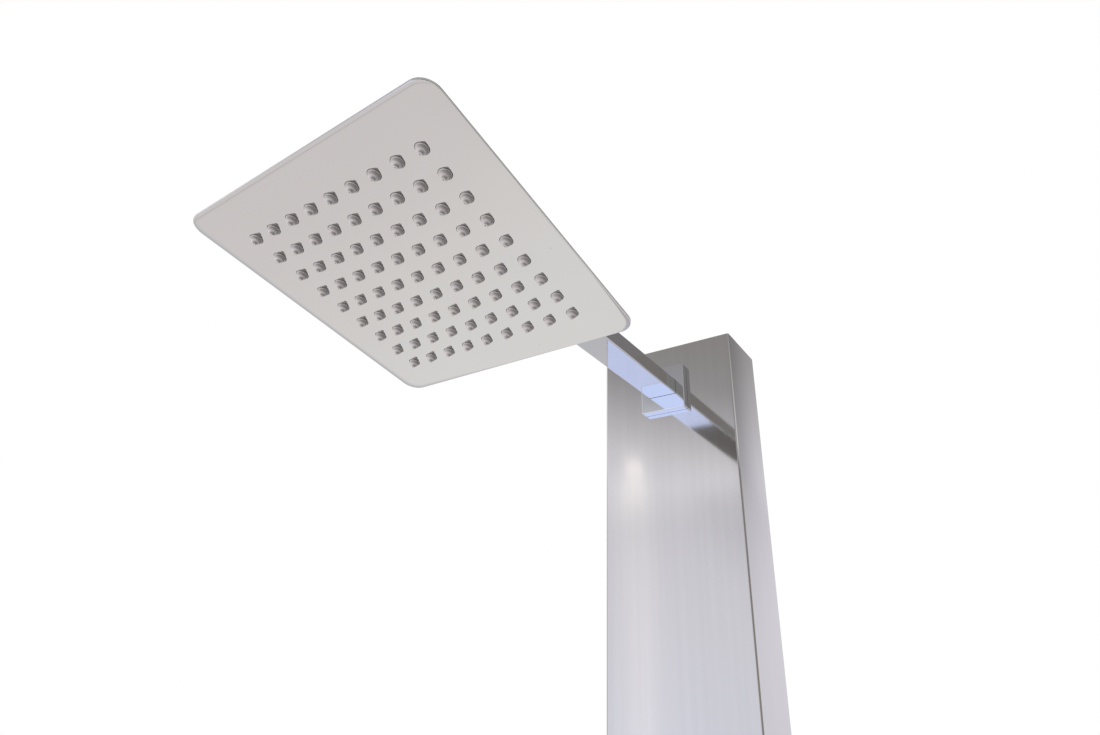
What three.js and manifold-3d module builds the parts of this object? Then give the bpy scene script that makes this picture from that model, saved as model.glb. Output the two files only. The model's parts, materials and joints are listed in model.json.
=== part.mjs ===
// Wall-hung rainfall shower column: a mirror-polished stainless box with a flat square rain head on
// a straight arm, a riser hose inside it and a single-lever mixer near its foot.
// Millimetres. +Z is up, +Y points into the wall and the front faces -Y.
// The origin is the centre of the upper wall bracket's back face, on the wall.
import * as THREE from 'three';
import { mergeVertices } from 'three/addons/utils/BufferGeometryUtils.js';
import Module from 'manifold-3d';

const wasm = await Module();
wasm.setup();

// ---------------------------------------------------------------- driving dimensions
const GAP = 0.3; // what two touching pieces keep between them
const COLUMN = { width: 144, depth: 74, height: 1300, sheet: 1.5, bend: 2, returnLip: 15 };
const TOP = 70; // column top edge above the origin
const WALL_GAP = 1; // column back edges stay this far off the tiles
const ARM = { width: 30, height: 16, wall: 1.5, reach: 350, overhang: 20, dropFromTop: 50 };
const ARM_FLANGE = { side: 48, depth: 8.5, wall: 1.4 };
const HEAD = { side: 200, corner: 11, sheet: 1, tilt: 10.4, belowBall: 20 };
const NOZZLES = { perSide: 9, pitch: 17.5, radius: 3.7, tipRadius: 1.3, bulb: 1.9, length: 4.6, sides: 8 };
const BALL = { radius: 9, belowArm: 28, neck: 4.75, bore: 3 };
const PIPE = { thread: 10.3, bore: 7, hose: 6.5 }; // G 1/2 male thread radius and waterways
const MIXER = { aboveFoot: 200, hole: 20.6, axisToBase: 8, lift: 18, blockHalf: 21 };
const LEVER = { width: 24, thickness: 8, drop: 88 };

// ---------------------------------------------------------------- places worked out from them
const FOOT = TOP - COLUMN.height;
const FRONT = -COLUMN.depth;
const BACK = -WALL_GAP;
const INNER_FRONT = FRONT + COLUMN.sheet;
const INNER_HALF = COLUMN.width / 2 - COLUMN.sheet;
const ARM_Z = TOP - ARM.dropFromTop;
const OUTLET_Y = FRONT - ARM.reach;
const BALL_Z = ARM_Z - ARM.height / 2 - BALL.belowArm;
const RISER_Y = FRONT + 42; // line of the riser hose and of the mixer's waterways
const MIXER_Z = FOOT + MIXER.aboveFoot;

// ---------------------------------------------------------------- materials
function finish(color, roughness, metalness) {
  return new THREE.MeshStandardMaterial({ color, roughness, metalness });
}

const polishedSteel = finish(0xd2d3d8, 0.06, 1);
const plainSteel = finish(0xa9acb1, 0.35, 1);
const chrome = finish(0xdadde2, 0.05, 1);
const brass = finish(0xc9a45c, 0.3, 1);
const braid = finish(0xb4b7bb, 0.4, 1);
const silicone = finish(0x97918f, 0.6, 0);
const rubber = finish(0x26262a, 0.8, 0);
const ceramic = finish(0xefe9dd, 0.25, 0);
const whitePlastic = finish(0xe6e4df, 0.45, 0);
const bluePlastic = finish(0x4d7fb8, 0.4, 0);

// ---------------------------------------------------------------- solids
// A closed geometry as a manifold solid, turned the right way out.
function solid(geometry) {
  const bare = geometry.clone();
  bare.deleteAttribute('normal');
  bare.deleteAttribute('uv');
  const merged = mergeVertices(bare, 1e-4);
  const positions = merged.attributes.position.array;
  const triangles = Uint32Array.from(merged.index.array);
  if (signedVolume(positions, triangles) < 0) {
    for (let i = 0; i < triangles.length; i += 3) {
      [triangles[i], triangles[i + 1]] = [triangles[i + 1], triangles[i]];
    }
  }
  return new wasm.Manifold(
    new wasm.Mesh({ numProp: 3, vertProperties: Float32Array.from(positions), triVerts: triangles }),
  );
}

function signedVolume(positions, triangles) {
  const corner = [new THREE.Vector3(), new THREE.Vector3(), new THREE.Vector3()];
  let volume = 0;
  for (let i = 0; i < triangles.length; i += 3) {
    corner.forEach((point, k) => point.fromArray(positions, 3 * triangles[i + k]));
    volume += corner[0].dot(corner[1].clone().cross(corner[2])) / 6;
  }
  return volume;
}

function toGeometry(manifold) {
  const mesh = manifold.getMesh();
  const geometry = new THREE.BufferGeometry();
  geometry.setAttribute('position', new THREE.BufferAttribute(mesh.vertProperties, 3));
  geometry.setIndex(new THREE.BufferAttribute(mesh.triVerts, 1));
  geometry.computeVertexNormals();
  return geometry;
}

function join(...solids) {
  return solids.reduce((whole, next) => whole.add(next));
}

function cut(body, ...tools) {
  return tools.reduce((rest, tool) => rest.subtract(tool), body);
}

// A box from its lowest to its highest corner.
function block([x0, y0, z0], [x1, y1, z1]) {
  const box = new THREE.BoxGeometry(x1 - x0, y1 - y0, z1 - z0);
  return solid(box.translate((x0 + x1) / 2, (y0 + y1) / 2, (z0 + z1) / 2));
}

// A round bar of a given radius between two values along one axis, centred on a point.
function bar(axis, radius, from, to, at = [0, 0, 0], sides = 16) {
  const length = Math.abs(to - from);
  const geometry = new THREE.CylinderGeometry(radius, radius, length, sides);
  const place = [...at];
  place['xyz'.indexOf(axis)] += (from + to) / 2;
  if (axis === 'x') geometry.rotateZ(Math.PI / 2);
  if (axis === 'z') geometry.rotateX(Math.PI / 2);
  return solid(geometry.translate(...place));
}

// A ring along one axis.
function ring(axis, outer, inner, from, to, at = [0, 0, 0], sides = 16) {
  const over = to > from ? 1 : -1;
  return cut(
    bar(axis, outer, from, to, at, sides),
    bar(axis, inner, from - over, to + over, at, Math.max(sides, 16)),
  );
}

function ball(radius, at = [0, 0, 0], sides = 24) {
  return solid(new THREE.SphereGeometry(radius, sides, sides / 2).rotateX(Math.PI / 2).translate(...at));
}

// The outline of a square or rectangle with round corners, centred on the origin.
function roundedOutline(width, height, radius, steps = 4) {
  const shape = new THREE.Shape();
  const corners = [[1, 1, 0], [-1, 1, 1], [-1, -1, 2], [1, -1, 3]];
  for (const [sx, sy, quarter] of corners) {
    const cx = sx * (width / 2 - radius);
    const cy = sy * (height / 2 - radius);
    for (let i = 0; i <= steps; i++) {
      const angle = (quarter + i / steps) * (Math.PI / 2);
      const point = [cx + radius * Math.cos(angle), cy + radius * Math.sin(angle)];
      if (shape.curves.length === 0 && i === 0 && quarter === 0) shape.moveTo(...point);
      else shape.lineTo(...point);
    }
  }
  shape.closePath();
  return shape;
}

// A rounded plate lying in XY between two heights.
function plate(width, height, radius, z0, z1, steps = 4) {
  const options = { depth: z1 - z0, bevelEnabled: false };
  const geometry = new THREE.ExtrudeGeometry(roundedOutline(width, height, radius, steps), options);
  return solid(geometry.translate(0, 0, z0));
}

// The same plate standing in XZ, between two Y values, centred at a height.
function standingPlate(width, height, radius, y0, y1, z = 0, steps = 3) {
  const options = { depth: y1 - y0, bevelEnabled: false };
  const geometry = new THREE.ExtrudeGeometry(roundedOutline(width, height, radius, steps), options);
  return solid(geometry.rotateX(Math.PI / 2).translate(0, y1, z));
}

// A square cup that opens towards +Y, with a front wall at its -Y end.
function squareCup(side, wall, y0, y1, z) {
  const outside = standingPlate(side, side, 1.5, y0, y1, z);
  const inside = standingPlate(side - 2 * wall, side - 2 * wall, 0.8, y0 + wall, y1 + 1, z);
  return cut(outside, inside);
}

// A spherical shell between two radii, kept between two heights.
function sphereZone(inner, outer, z0, z1, sides = 24) {
  const shell = cut(ball(outer, [0, 0, 0], sides), ball(inner, [0, 0, 0], sides));
  const slab = block([-outer - 1, -outer - 1, z0], [outer + 1, outer + 1, z1]);
  return shell.intersect(slab);
}

// ---------------------------------------------------------------- scene graph
const column = new THREE.Group();
column.name = 'rain_shower_column';

function add(group, name, shape, material) {
  const mesh = new THREE.Mesh(toGeometry(shape), material);
  mesh.name = name;
  group.add(mesh);
  return mesh;
}

function subgroup(parent, x, y, z) {
  const group = new THREE.Group();
  group.position.set(x, y, z);
  parent.add(group);
  return group;
}

// ---------------------------------------------------------------- column body
// Half of the folded sheet's section, from the front's middle round to the end of the return lip.
function halfSection(half, front, bend) {
  const points = [];
  const steps = 4;
  for (let i = 0; i <= steps; i++) {
    const angle = (i / steps) * (Math.PI / 2);
    points.push([half - bend + bend * Math.sin(angle), front + bend - bend * Math.cos(angle)]);
  }
  return points;
}

function shellSection() {
  const { width, sheet, bend, returnLip } = COLUMN;
  const half = width / 2;
  const lipEnd = half - returnLip;
  const outside = [...halfSection(half, FRONT, bend), [half, BACK], [lipEnd, BACK], [lipEnd, BACK - sheet]];
  const inside = [...halfSection(half - sheet, INNER_FRONT, bend - sheet), [half - sheet, BACK - sheet]];
  const right = [...outside, ...inside.reverse()];
  const left = right.map(([x, y]) => [-x, y]).reverse();
  return new THREE.Shape([...right, ...left].map(([x, y]) => new THREE.Vector2(x, y)));
}

function columnShell() {
  const options = { depth: COLUMN.height, bevelEnabled: false };
  const folded = solid(new THREE.ExtrudeGeometry(shellSection(), options).translate(0, 0, FOOT));
  const armHole = bar('y', PIPE.thread + 0.5, FRONT - 1, INNER_FRONT + 1, [0, 0, ARM_Z]);
  const mixerHole = bar('y', MIXER.hole, FRONT - 1, INNER_FRONT + 1, [0, 0, MIXER_Z], 24);
  return cut(folded, armHole, mixerHole);
}

// End cap: a plate flush with the column's end, with its front and side edges turned inwards.
// side is +1 for the top and -1 for the foot.
function endCap(endZ, side) {
  const sheet = 1.2;
  const turn = 12;
  const half = INNER_HALF - GAP;
  const front = INNER_FRONT + GAP;
  const back = BACK - COLUMN.sheet - GAP;
  const inner = endZ - side * turn;
  const [low, high] = side > 0 ? [inner, endZ] : [endZ, inner];
  const tray = block([-half, front, low], [half, back, high]);
  const [hollowLow, hollowHigh] = side > 0 ? [low - 1, high - sheet] : [low + sheet, high + 1];
  const hollow = block([sheet - half, front + sheet, hollowLow], [half - sheet, back + 1, hollowHigh]);
  return cut(tray, hollow);
}

// A strip welded across the back of the column, which hooks over a wall bracket.
const CROSSBAR = { thickness: 2, height: 30 };
const CROSSBAR_FRONT = BACK - COLUMN.sheet - GAP - CROSSBAR.thickness;
const BRACKET = { width: 110, height: 36, sheet: 2, lip: 14, slotSpacing: 76, slotLength: 12, slotWidth: 6 };

function crossbar(bracketZ) {
  const half = INNER_HALF - GAP;
  const low = bracketZ + BRACKET.height / 2 + BRACKET.sheet + GAP;
  return block(
    [-half, CROSSBAR_FRONT, low],
    [half, CROSSBAR_FRONT + CROSSBAR.thickness, low + CROSSBAR.height],
  );
}

// Z-folded wall bracket: a slotted plate on the wall, a step forward and a lip turned up.
function wallBracket(z) {
  const { width, height, sheet, lip } = BRACKET;
  const half = width / 2;
  const lipBack = CROSSBAR_FRONT - GAP;
  const stepLow = z + height / 2;
  const wallPlate = block([-half, -sheet, z - height / 2], [half, 0, stepLow + sheet]);
  const step = block([-half, lipBack - sheet, stepLow], [half, 0, stepLow + sheet]);
  const upturned = block([-half, lipBack - sheet, stepLow], [half, lipBack, stepLow + lip]);
  const slots = [-1, 1].map((side) => bracketSlot(side * (BRACKET.slotSpacing / 2), z));
  return cut(join(wallPlate, step, upturned), ...slots);
}

function bracketSlot(x, z) {
  const { slotLength, slotWidth, sheet } = BRACKET;
  const outline = roundedOutline(slotLength, slotWidth, slotWidth / 2 - 0.01, 4);
  const geometry = new THREE.ExtrudeGeometry(outline, { depth: sheet + 2, bevelEnabled: false });
  return solid(geometry.rotateX(Math.PI / 2).translate(x, 1, z));
}

const LOWER_BRACKET_Z = FOOT + 80;

function buildColumnBody() {
  add(column, 'column_shell', columnShell(), polishedSteel);
  add(column, 'top_cap', endCap(TOP, 1), polishedSteel);
  add(column, 'bottom_cap', endCap(FOOT, -1), polishedSteel);
  add(column, 'upper_crossbar', crossbar(0), plainSteel);
  add(column, 'lower_crossbar', crossbar(LOWER_BRACKET_Z), plainSteel);
  add(column, 'upper_wall_bracket', wallBracket(0), plainSteel);
  add(column, 'lower_wall_bracket', wallBracket(LOWER_BRACKET_Z), plainSteel);
}

// ---------------------------------------------------------------- shower arm
const ROOT_PLATE = { width: 40, height: 30, thickness: 3 };
const SPIGOT = { length: 10, bore: 6 };
const ARM_GASKET = 1;
const ROOT_BACK = FRONT - GAP - ARM_GASKET - GAP;
const NIPPLE_END = FRONT + 30;
const BACKING = { width: 90, height: 70, thickness: 3 };
const LOCK = { washer: 16, washerThickness: 1.5, nut: 15.5, nutThickness: 7, seal: 13 };

// Rectangular tube, closed at its outer end, on a root plate with a threaded nipple.
function showerArm() {
  const { width, height, wall, overhang } = ARM;
  const tip = OUTLET_Y - overhang;
  const underside = ARM_Z - height / 2;
  const rootFront = ROOT_BACK - ROOT_PLATE.thickness;
  const at = [0, 0, ARM_Z];
  const tube = block([-width / 2, tip, underside], [width / 2, ROOT_BACK, ARM_Z + height / 2]);
  const inHalf = width / 2 - wall;
  const hollow = block(
    [-inHalf, tip + wall, underside + wall],
    [inHalf, rootFront, ARM_Z + height / 2 - wall],
  );
  const root = standingPlate(ROOT_PLATE.width, ROOT_PLATE.height, 2, rootFront, ROOT_BACK, ARM_Z);
  const nipple = bar('y', PIPE.thread, ROOT_BACK, NIPPLE_END, at);
  const spigotEnd = underside - SPIGOT.length;
  const spigot = bar('z', PIPE.thread, spigotEnd, underside, [0, OUTLET_Y, 0]);
  const inlet = bar('y', SPIGOT.bore, rootFront - 1, NIPPLE_END + 1, at);
  const outlet = bar('z', SPIGOT.bore, spigotEnd - 1, underside + wall + 1, [0, OUTLET_Y, 0]);
  return cut(join(tube, root, nipple, spigot), hollow, inlet, outlet);
}

function armFlange() {
  const cup = squareCup(ARM_FLANGE.side, ARM_FLANGE.wall, FRONT - ARM_FLANGE.depth, FRONT - GAP, ARM_Z);
  const halfWidth = ARM.width / 2 + GAP;
  const halfHeight = ARM.height / 2 + GAP;
  const window = block(
    [-halfWidth, FRONT - ARM_FLANGE.depth - 1, ARM_Z - halfHeight],
    [halfWidth, FRONT, ARM_Z + halfHeight],
  );
  return cut(cup, window);
}

function armGasket() {
  const sheet = standingPlate(
    ROOT_PLATE.width, ROOT_PLATE.height, 2, FRONT - GAP - ARM_GASKET, FRONT - GAP, ARM_Z,
  );
  return cut(sheet, bar('y', PIPE.thread + GAP, FRONT - 5, FRONT + 1, [0, 0, ARM_Z]));
}

function backingPlate() {
  const back = INNER_FRONT + GAP + BACKING.thickness;
  const sheet = standingPlate(BACKING.width, BACKING.height, 3, INNER_FRONT + GAP, back, ARM_Z);
  return cut(sheet, bar('y', PIPE.thread + 0.5, INNER_FRONT, back + 1, [0, 0, ARM_Z]));
}

// Elbow that turns the riser's flow from the hose into the arm's nipple.
const ELBOW = { radius: 14, mouth: NIPPLE_END - 12, threadLength: 14 };
const ELBOW_OUT = ARM_Z - ELBOW.radius - ELBOW.threadLength;

function riserElbow() {
  const { radius, mouth } = ELBOW;
  const corner = [0, RISER_Y, ARM_Z];
  const level = bar('y', radius, mouth, RISER_Y, [0, 0, ARM_Z]);
  const drop = bar('z', radius, ARM_Z - radius, ARM_Z, [0, RISER_Y, 0]);
  const thread = bar('z', PIPE.thread, ELBOW_OUT, ARM_Z, [0, RISER_Y, 0]);
  const socket = bar('y', PIPE.thread + GAP, mouth - 1, NIPPLE_END + GAP, [0, 0, ARM_Z]);
  const levelBore = bar('y', PIPE.bore, NIPPLE_END, RISER_Y, [0, 0, ARM_Z]);
  const dropBore = bar('z', PIPE.bore, ELBOW_OUT - 1, ARM_Z, [0, RISER_Y, 0]);
  const whole = join(level, ball(radius, corner, 16), drop, thread);
  return cut(whole, socket, levelBore, dropBore, ball(PIPE.bore, corner, 16));
}

function buildArm() {
  const at = [0, 0, ARM_Z];
  const inside = INNER_FRONT + GAP + BACKING.thickness;
  const clear = PIPE.thread + GAP;
  const washerBack = inside + GAP + LOCK.washerThickness;
  const nutBack = washerBack + GAP + LOCK.nutThickness;
  add(column, 'shower_arm', showerArm(), polishedSteel);
  add(column, 'arm_flange', armFlange(), polishedSteel);
  add(column, 'arm_gasket', armGasket(), rubber);
  add(column, 'arm_backing_plate', backingPlate(), plainSteel);
  add(column, 'arm_lock_washer', ring('y', LOCK.washer, clear, inside + GAP, washerBack, at), plainSteel);
  add(column, 'arm_locknut', ring('y', LOCK.nut, clear, washerBack + GAP, nutBack, at, 6), brass);
  add(column, 'riser_elbow', riserElbow(), brass);
  add(column, 'elbow_seal', ring('y', LOCK.seal, clear, nutBack + GAP, ELBOW.mouth - GAP, at), rubber);
}

// ---------------------------------------------------------------- riser hose
const MIXER_OUT = MIXER_Z + 50; // top of the mixer's outlet thread
const HOSE_NUT = { radius: 14, cover: 11, seat: 4, lip: 4 };
const HOSE_BOW = { sideways: 9, back: 6, intoEnd: 3 };
const HOSE_WASHER = { radius: 10, bore: 6.9, thickness: 2.1 };
const FERRULE = { radius: 8.8, play: 0.8, length: 24 };
const HOSE_ENDS = [
  { name: 'upper', z: ELBOW_OUT, down: 1 },
  { name: 'lower', z: MIXER_OUT, down: -1 },
];

// The hose's centre line: straight out of each end, with a slack bow between them.
function hoseRoute() {
  const start = ELBOW_OUT - HOSE_BOW.intoEnd;
  const end = MIXER_OUT + HOSE_BOW.intoEnd;
  const points = [];
  const steps = 12;
  for (let i = 0; i <= steps; i++) {
    const t = i / steps;
    const ease = Math.sin(Math.PI * t) ** 2;
    const sideways = HOSE_BOW.sideways * ease * Math.sin(2 * Math.PI * t);
    points.push(new THREE.Vector3(sideways, RISER_Y + HOSE_BOW.back * ease, start + (end - start) * t));
  }
  return new THREE.CatmullRomCurve3(points);
}

function riserHose() {
  const section = new THREE.Shape();
  const sides = 8;
  for (let i = 0; i < sides; i++) {
    const angle = (i / sides) * 2 * Math.PI;
    const point = [PIPE.hose * Math.cos(angle), PIPE.hose * Math.sin(angle)];
    if (i === 0) section.moveTo(...point);
    else section.lineTo(...point);
  }
  section.closePath();
  return solid(new THREE.ExtrudeGeometry(section, { steps: 36, extrudePath: hoseRoute() }));
}

// Swivel nut, flat washer and crimped ferrule at one end of the hose.
function buildHoseEnd({ name, z, down }) {
  const { radius, cover, seat, lip } = HOSE_NUT;
  const at = [0, RISER_Y, 0];
  const clear = PIPE.thread + GAP;
  const mouth = z + down * cover;
  const floor = z - down * seat;
  const end = floor - down * lip;
  const nut = cut(
    bar('z', radius, mouth, end, at, 6),
    bar('z', clear, mouth + down, floor, at),
    bar('z', PIPE.hose + 2 * GAP, floor + down, end - down, at),
  );
  add(column, `hose_nut_${name}`, nut, brass);
  const washerTop = z - down * GAP;
  const washerEnd = washerTop - down * HOSE_WASHER.thickness;
  const washer = ring('z', HOSE_WASHER.radius, HOSE_WASHER.bore, washerTop, washerEnd, at);
  const ferruleTop = end - down * GAP;
  const ferruleEnd = ferruleTop - down * FERRULE.length;
  const ferrule = ring('z', FERRULE.radius, PIPE.hose + FERRULE.play, ferruleTop, ferruleEnd, at);
  add(column, `hose_washer_${name}`, washer, rubber);
  add(column, `hose_ferrule_${name}`, ferrule, plainSteel);
}

function buildRiser() {
  add(column, 'riser_hose', riserHose(), braid);
  HOSE_ENDS.forEach(buildHoseEnd);
}

// ---------------------------------------------------------------- mixer
// Built about the point where the spindle's axis meets the column's front face: -y is in front of
// the face and +y is inside the column.
const mixer = subgroup(column, 0, FRONT, MIXER_Z);
const PIVOT = -4; // spindle pin, and the centre of the dome and of the handle's pocket
const DOME = { radius: 24, wall: 1.6, front: PIVOT - 18.1 };
const BODY = { barrel: 23, neck: 20, back: 54, cross: 12, crossHalf: 49, outlet: 13, outletThread: 16 };
const RING_NUT = { radius: 27, bore: 20.3, front: -4 };
const CHAMBER = { radius: 17.8, mouth: -13, bottom: 19 };
const INLETS = { x: 36, z: -MIXER.axisToBase, end: -44, feedRadius: 5 };
const PORTS = [[-7, -MIXER.axisToBase], [7, -MIXER.axisToBase], [0, 7]];
const VALVE = { bore: 3.4, from: 6, to: 20 }; // measured up from the inlet's end
const STRAINER = { from: 0.5, to: 5.7, wall: 1 };
const LEVER_SCREW = { radius: 2.4, plugRadius: 2.5, hole: 2.8, end: -16 };
const ESCUTCHEON = { side: 66, wall: 1.5, back: -1.6, front: -10 };
const KNOB = { back: PIVOT - MIXER.lift, front: PIVOT - MIXER.lift - 19 };
const SPINDLE = { half: 3.25, tip: PIVOT + 7.8, front: KNOB.front + 3 };
const SCREW_Y = (KNOB.back + KNOB.front) / 2 - 1;

// Where each piece of the cartridge lies along the spindle's axis, from the back to the front.
const STACK = {
  seal: [18.7, 17.2],
  base: [16.8, 14],
  fixedDisc: [13.7, 10.7],
  movingDisc: [10.4, 7.4],
  holder: [7.1, 2],
  carrier: [PIVOT + 5.6, PIVOT - 3.7],
  housing: [16.9, -11],
  retainer: [-11.3, -15.8],
};

// Radii of the cartridge's round pieces.
const CARTRIDGE = {
  seal: 17.4, base: 15.1, housingBore: 15.5, mouth: 11, fixedDisc: 13.5, movingDisc: 10, recess: 5,
  holder: 10.8, carrier: 14.9, retainer: 17.3, retainerBore: 12.5, port: 3,
};
const PIN = { radius: 1.5, hole: 1.8, half: 13 };

function portHoles([from, to]) {
  return PORTS.map(([x, z]) => bar('y', CARTRIDGE.port, from + 1, to - 1, [x, 0, z]));
}

function mixerBody() {
  const { barrel, neck, back, cross, crossHalf } = BODY;
  const sides = [-1, 1];
  const line = RISER_Y - FRONT;
  const outletTop = MIXER_OUT - MIXER_Z;
  const whole = join(
    bar('y', barrel, COLUMN.sheet + GAP, back, [0, 0, 0], 24),
    bar('y', neck, CHAMBER.mouth, COLUMN.sheet + 1, [0, 0, 0], 24),
    bar('x', cross, -crossHalf, crossHalf, [0, line, INLETS.z]),
    bar('z', BODY.outlet, 0, outletTop - BODY.outletThread, [0, line, 0]),
    bar('z', PIPE.thread, outletTop - BODY.outletThread - 1, outletTop, [0, line, 0]),
    ...sides.map((s) => bar('z', PIPE.thread, INLETS.end, INLETS.z, [s * INLETS.x, line, 0])),
  );
  const feeds = sides.map((s) =>
    bar('x', INLETS.feedRadius, s * 4, s * (INLETS.x + 6), [0, line, INLETS.z]),
  );
  const drops = sides.map((s) =>
    bar('z', PIPE.bore, INLETS.end - 1, INLETS.z - 3, [s * INLETS.x, line, 0]),
  );
  const chamber = bar('y', CHAMBER.radius, CHAMBER.mouth - 1, CHAMBER.bottom, [0, 0, 0], 24);
  const rise = bar('z', PIPE.bore, 2, outletTop + 1, [0, line, 0]);
  return cut(whole, chamber, rise, ...feeds, ...drops, ...portHoles([line, CHAMBER.bottom]));
}

// Non-return valve and strainer pushed into each inlet.
function buildInlet(name, side) {
  const at = [side * INLETS.x, RISER_Y - FRONT, 0];
  const fit = PIPE.bore - GAP;
  const valve = ring('z', fit, VALVE.bore, INLETS.end + VALVE.from, INLETS.end + VALVE.to, at);
  const strainer = cut(
    bar('z', fit, INLETS.end + STRAINER.from, INLETS.end + STRAINER.to, at),
    bar('z', fit - STRAINER.wall, INLETS.end - 1, INLETS.end + STRAINER.to - STRAINER.wall, at),
  );
  add(mixer, `${name}_check_valve`, valve, whitePlastic);
  add(mixer, `${name}_strainer`, strainer, plainSteel);
}

function mixerEscutcheon() {
  const { side, wall, front, back } = ESCUTCHEON;
  const window = bar('y', DOME.radius + 0.5, front - 1, back, [0, 0, 0], 24);
  return cut(squareCup(side, wall, front, back, 0), window);
}

function mixerGasket() {
  const { side } = ESCUTCHEON;
  const sheet = standingPlate(side, side, 1.5, ESCUTCHEON.back + GAP, -GAP);
  return cut(sheet, standingPlate(side - 8, side - 8, 0.8, -3, 1));
}

// Dome round the spindle's pin, open in front for the spindle's swing.
function mixerDome() {
  const at = [0, PIVOT, 0];
  const shell = cut(ball(DOME.radius, at), ball(DOME.radius - DOME.wall, at));
  return shell.intersect(block([-30, DOME.front, -30], [30, PIVOT - 0.6, 30]));
}

function cartridgeHousing() {
  const [back, front] = STACK.housing;
  const shell = bar('y', CHAMBER.radius - GAP, front, back, [0, 0, 0], 24);
  const inside = bar('y', CARTRIDGE.housingBore, front + 3, back + 1, [0, 0, 0], 24);
  return cut(shell, inside, bar('y', CARTRIDGE.mouth, front - 1, front + 4));
}

// The turning carrier that holds the spindle's pin over a slot for its swing.
function cartridgeCarrier() {
  const disc = bar('y', CARTRIDGE.carrier, ...STACK.carrier, [0, 0, 0], 24);
  const slot = block([-4, PIVOT - 6, -8], [4, PIVOT + 9, 8]);
  return cut(disc, slot, bar('x', PIN.hole, -20, 20, [0, PIVOT, 0]));
}

function mixerSpindle() {
  const { half, tip, front } = SPINDLE;
  const stem = block([-half, front, -half], [half, PIVOT + 3.5, half]);
  const foot = bar('y', 2.2, tip, PIVOT + 3);
  return cut(join(stem, foot, ball(2.4, [0, tip, 0], 16)), bar('x', PIN.hole, -6, 6, [0, PIVOT, 0]));
}

// Slides under the spindle's foot and carries the moving disc with it.
function discHolder() {
  const [back, front] = STACK.holder;
  const pocket = block([-3.3, front - 1, -3.3], [3.3, back - 0.6, 3.3]);
  return cut(bar('y', CARTRIDGE.holder, front, back), pocket);
}

function leverHandle() {
  const half = MIXER.blockHalf;
  const { width, thickness, drop } = LEVER;
  const knob = block([-half, KNOB.front, -half], [half, KNOB.back, half]);
  const paddle = block([-width / 2, KNOB.front - thickness, -drop], [width / 2, KNOB.front + 1, half]);
  const square = SPINDLE.half + GAP;
  const socket = block([-square, SPINDLE.front - GAP, -square], [square, PIVOT, square]);
  const screwHole = bar('z', LEVER_SCREW.hole, -half - 1, 0, [0, SCREW_Y, 0]);
  return cut(join(knob, paddle), ball(DOME.radius + 0.6, [0, PIVOT, 0]), socket, screwHole);
}

function buildCartridge() {
  const { seal, base, fixedDisc, movingDisc, retainer } = STACK;
  const ported = (radius, span) => cut(bar('y', radius, ...span), ...portHoles(span));
  const recess = bar('y', CARTRIDGE.recess, movingDisc[0] - 1.5, movingDisc[0] + 1);
  const retainerRing = ring('y', CARTRIDGE.retainer, CARTRIDGE.retainerBore, ...retainer, [0, 0, 0], 24);
  add(mixer, 'cartridge_seal', ported(CARTRIDGE.seal, seal), rubber);
  add(mixer, 'cartridge_base', ported(CARTRIDGE.base, base), whitePlastic);
  add(mixer, 'cartridge_housing', cartridgeHousing(), bluePlastic);
  add(mixer, 'fixed_ceramic_disc', ported(CARTRIDGE.fixedDisc, fixedDisc), ceramic);
  add(mixer, 'moving_ceramic_disc', cut(bar('y', CARTRIDGE.movingDisc, ...movingDisc), recess), ceramic);
  add(mixer, 'disc_holder', discHolder(), whitePlastic);
  add(mixer, 'cartridge_carrier', cartridgeCarrier(), whitePlastic);
  add(mixer, 'spindle_pin', bar('x', PIN.radius, -PIN.half, PIN.half, [0, PIVOT, 0]), plainSteel);
  add(mixer, 'mixer_spindle', mixerSpindle(), brass);
  add(mixer, 'cartridge_retainer', retainerRing, brass);
}

function buildMixer() {
  const half = MIXER.blockHalf;
  const screwAt = [0, SCREW_Y, 0];
  add(mixer, 'mixer_body', mixerBody(), brass);
  const ringNut = ring('y', RING_NUT.radius, RING_NUT.bore, RING_NUT.front, -GAP, [0, 0, 0], 24);
  add(mixer, 'mixer_ring_nut', ringNut, brass);
  add(mixer, 'mixer_gasket', mixerGasket(), rubber);
  add(mixer, 'mixer_escutcheon', mixerEscutcheon(), polishedSteel);
  add(mixer, 'mixer_dome', mixerDome(), chrome);
  add(mixer, 'lever_handle', leverHandle(), chrome);
  const { radius, plugRadius, end } = LEVER_SCREW;
  add(mixer, 'lever_set_screw', bar('z', radius, end, -SPINDLE.half - GAP, screwAt), plainSteel);
  add(mixer, 'lever_screw_plug', bar('z', plugRadius, -half + 0.2, end - 0.4, screwAt), whitePlastic);
  buildInlet('hot', -1);
  buildInlet('cold', 1);
  buildCartridge();
}

// ---------------------------------------------------------------- ball joint
// Fixed half: screwed on the arm's spigot, so it stands upright about the ball's centre.
const joint = subgroup(column, 0, OUTLET_Y, BALL_Z);
const SOCKET = { radius: 13, floor: 14.3, wall: 1.5 };
const SWIVEL_WASHER = { radius: 10.2, bore: 6, thickness: 2 };
const REGULATOR = { radius: 5.6, bore: 1.6, thickness: 1.8 };

function swivelBall() {
  const { radius, neck, bore, belowArm } = BALL;
  const socket = bar('z', SOCKET.radius, SOCKET.floor - SOCKET.wall, belowArm - GAP);
  const stem = bar('z', neck, 0, SOCKET.floor - 1);
  const threadHole = bar('z', PIPE.thread + GAP, SOCKET.floor, belowArm + 1);
  const waterway = bar('z', bore, -radius - 1, SOCKET.floor + 1);
  return cut(join(ball(radius), stem, socket), threadHole, waterway);
}

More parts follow.
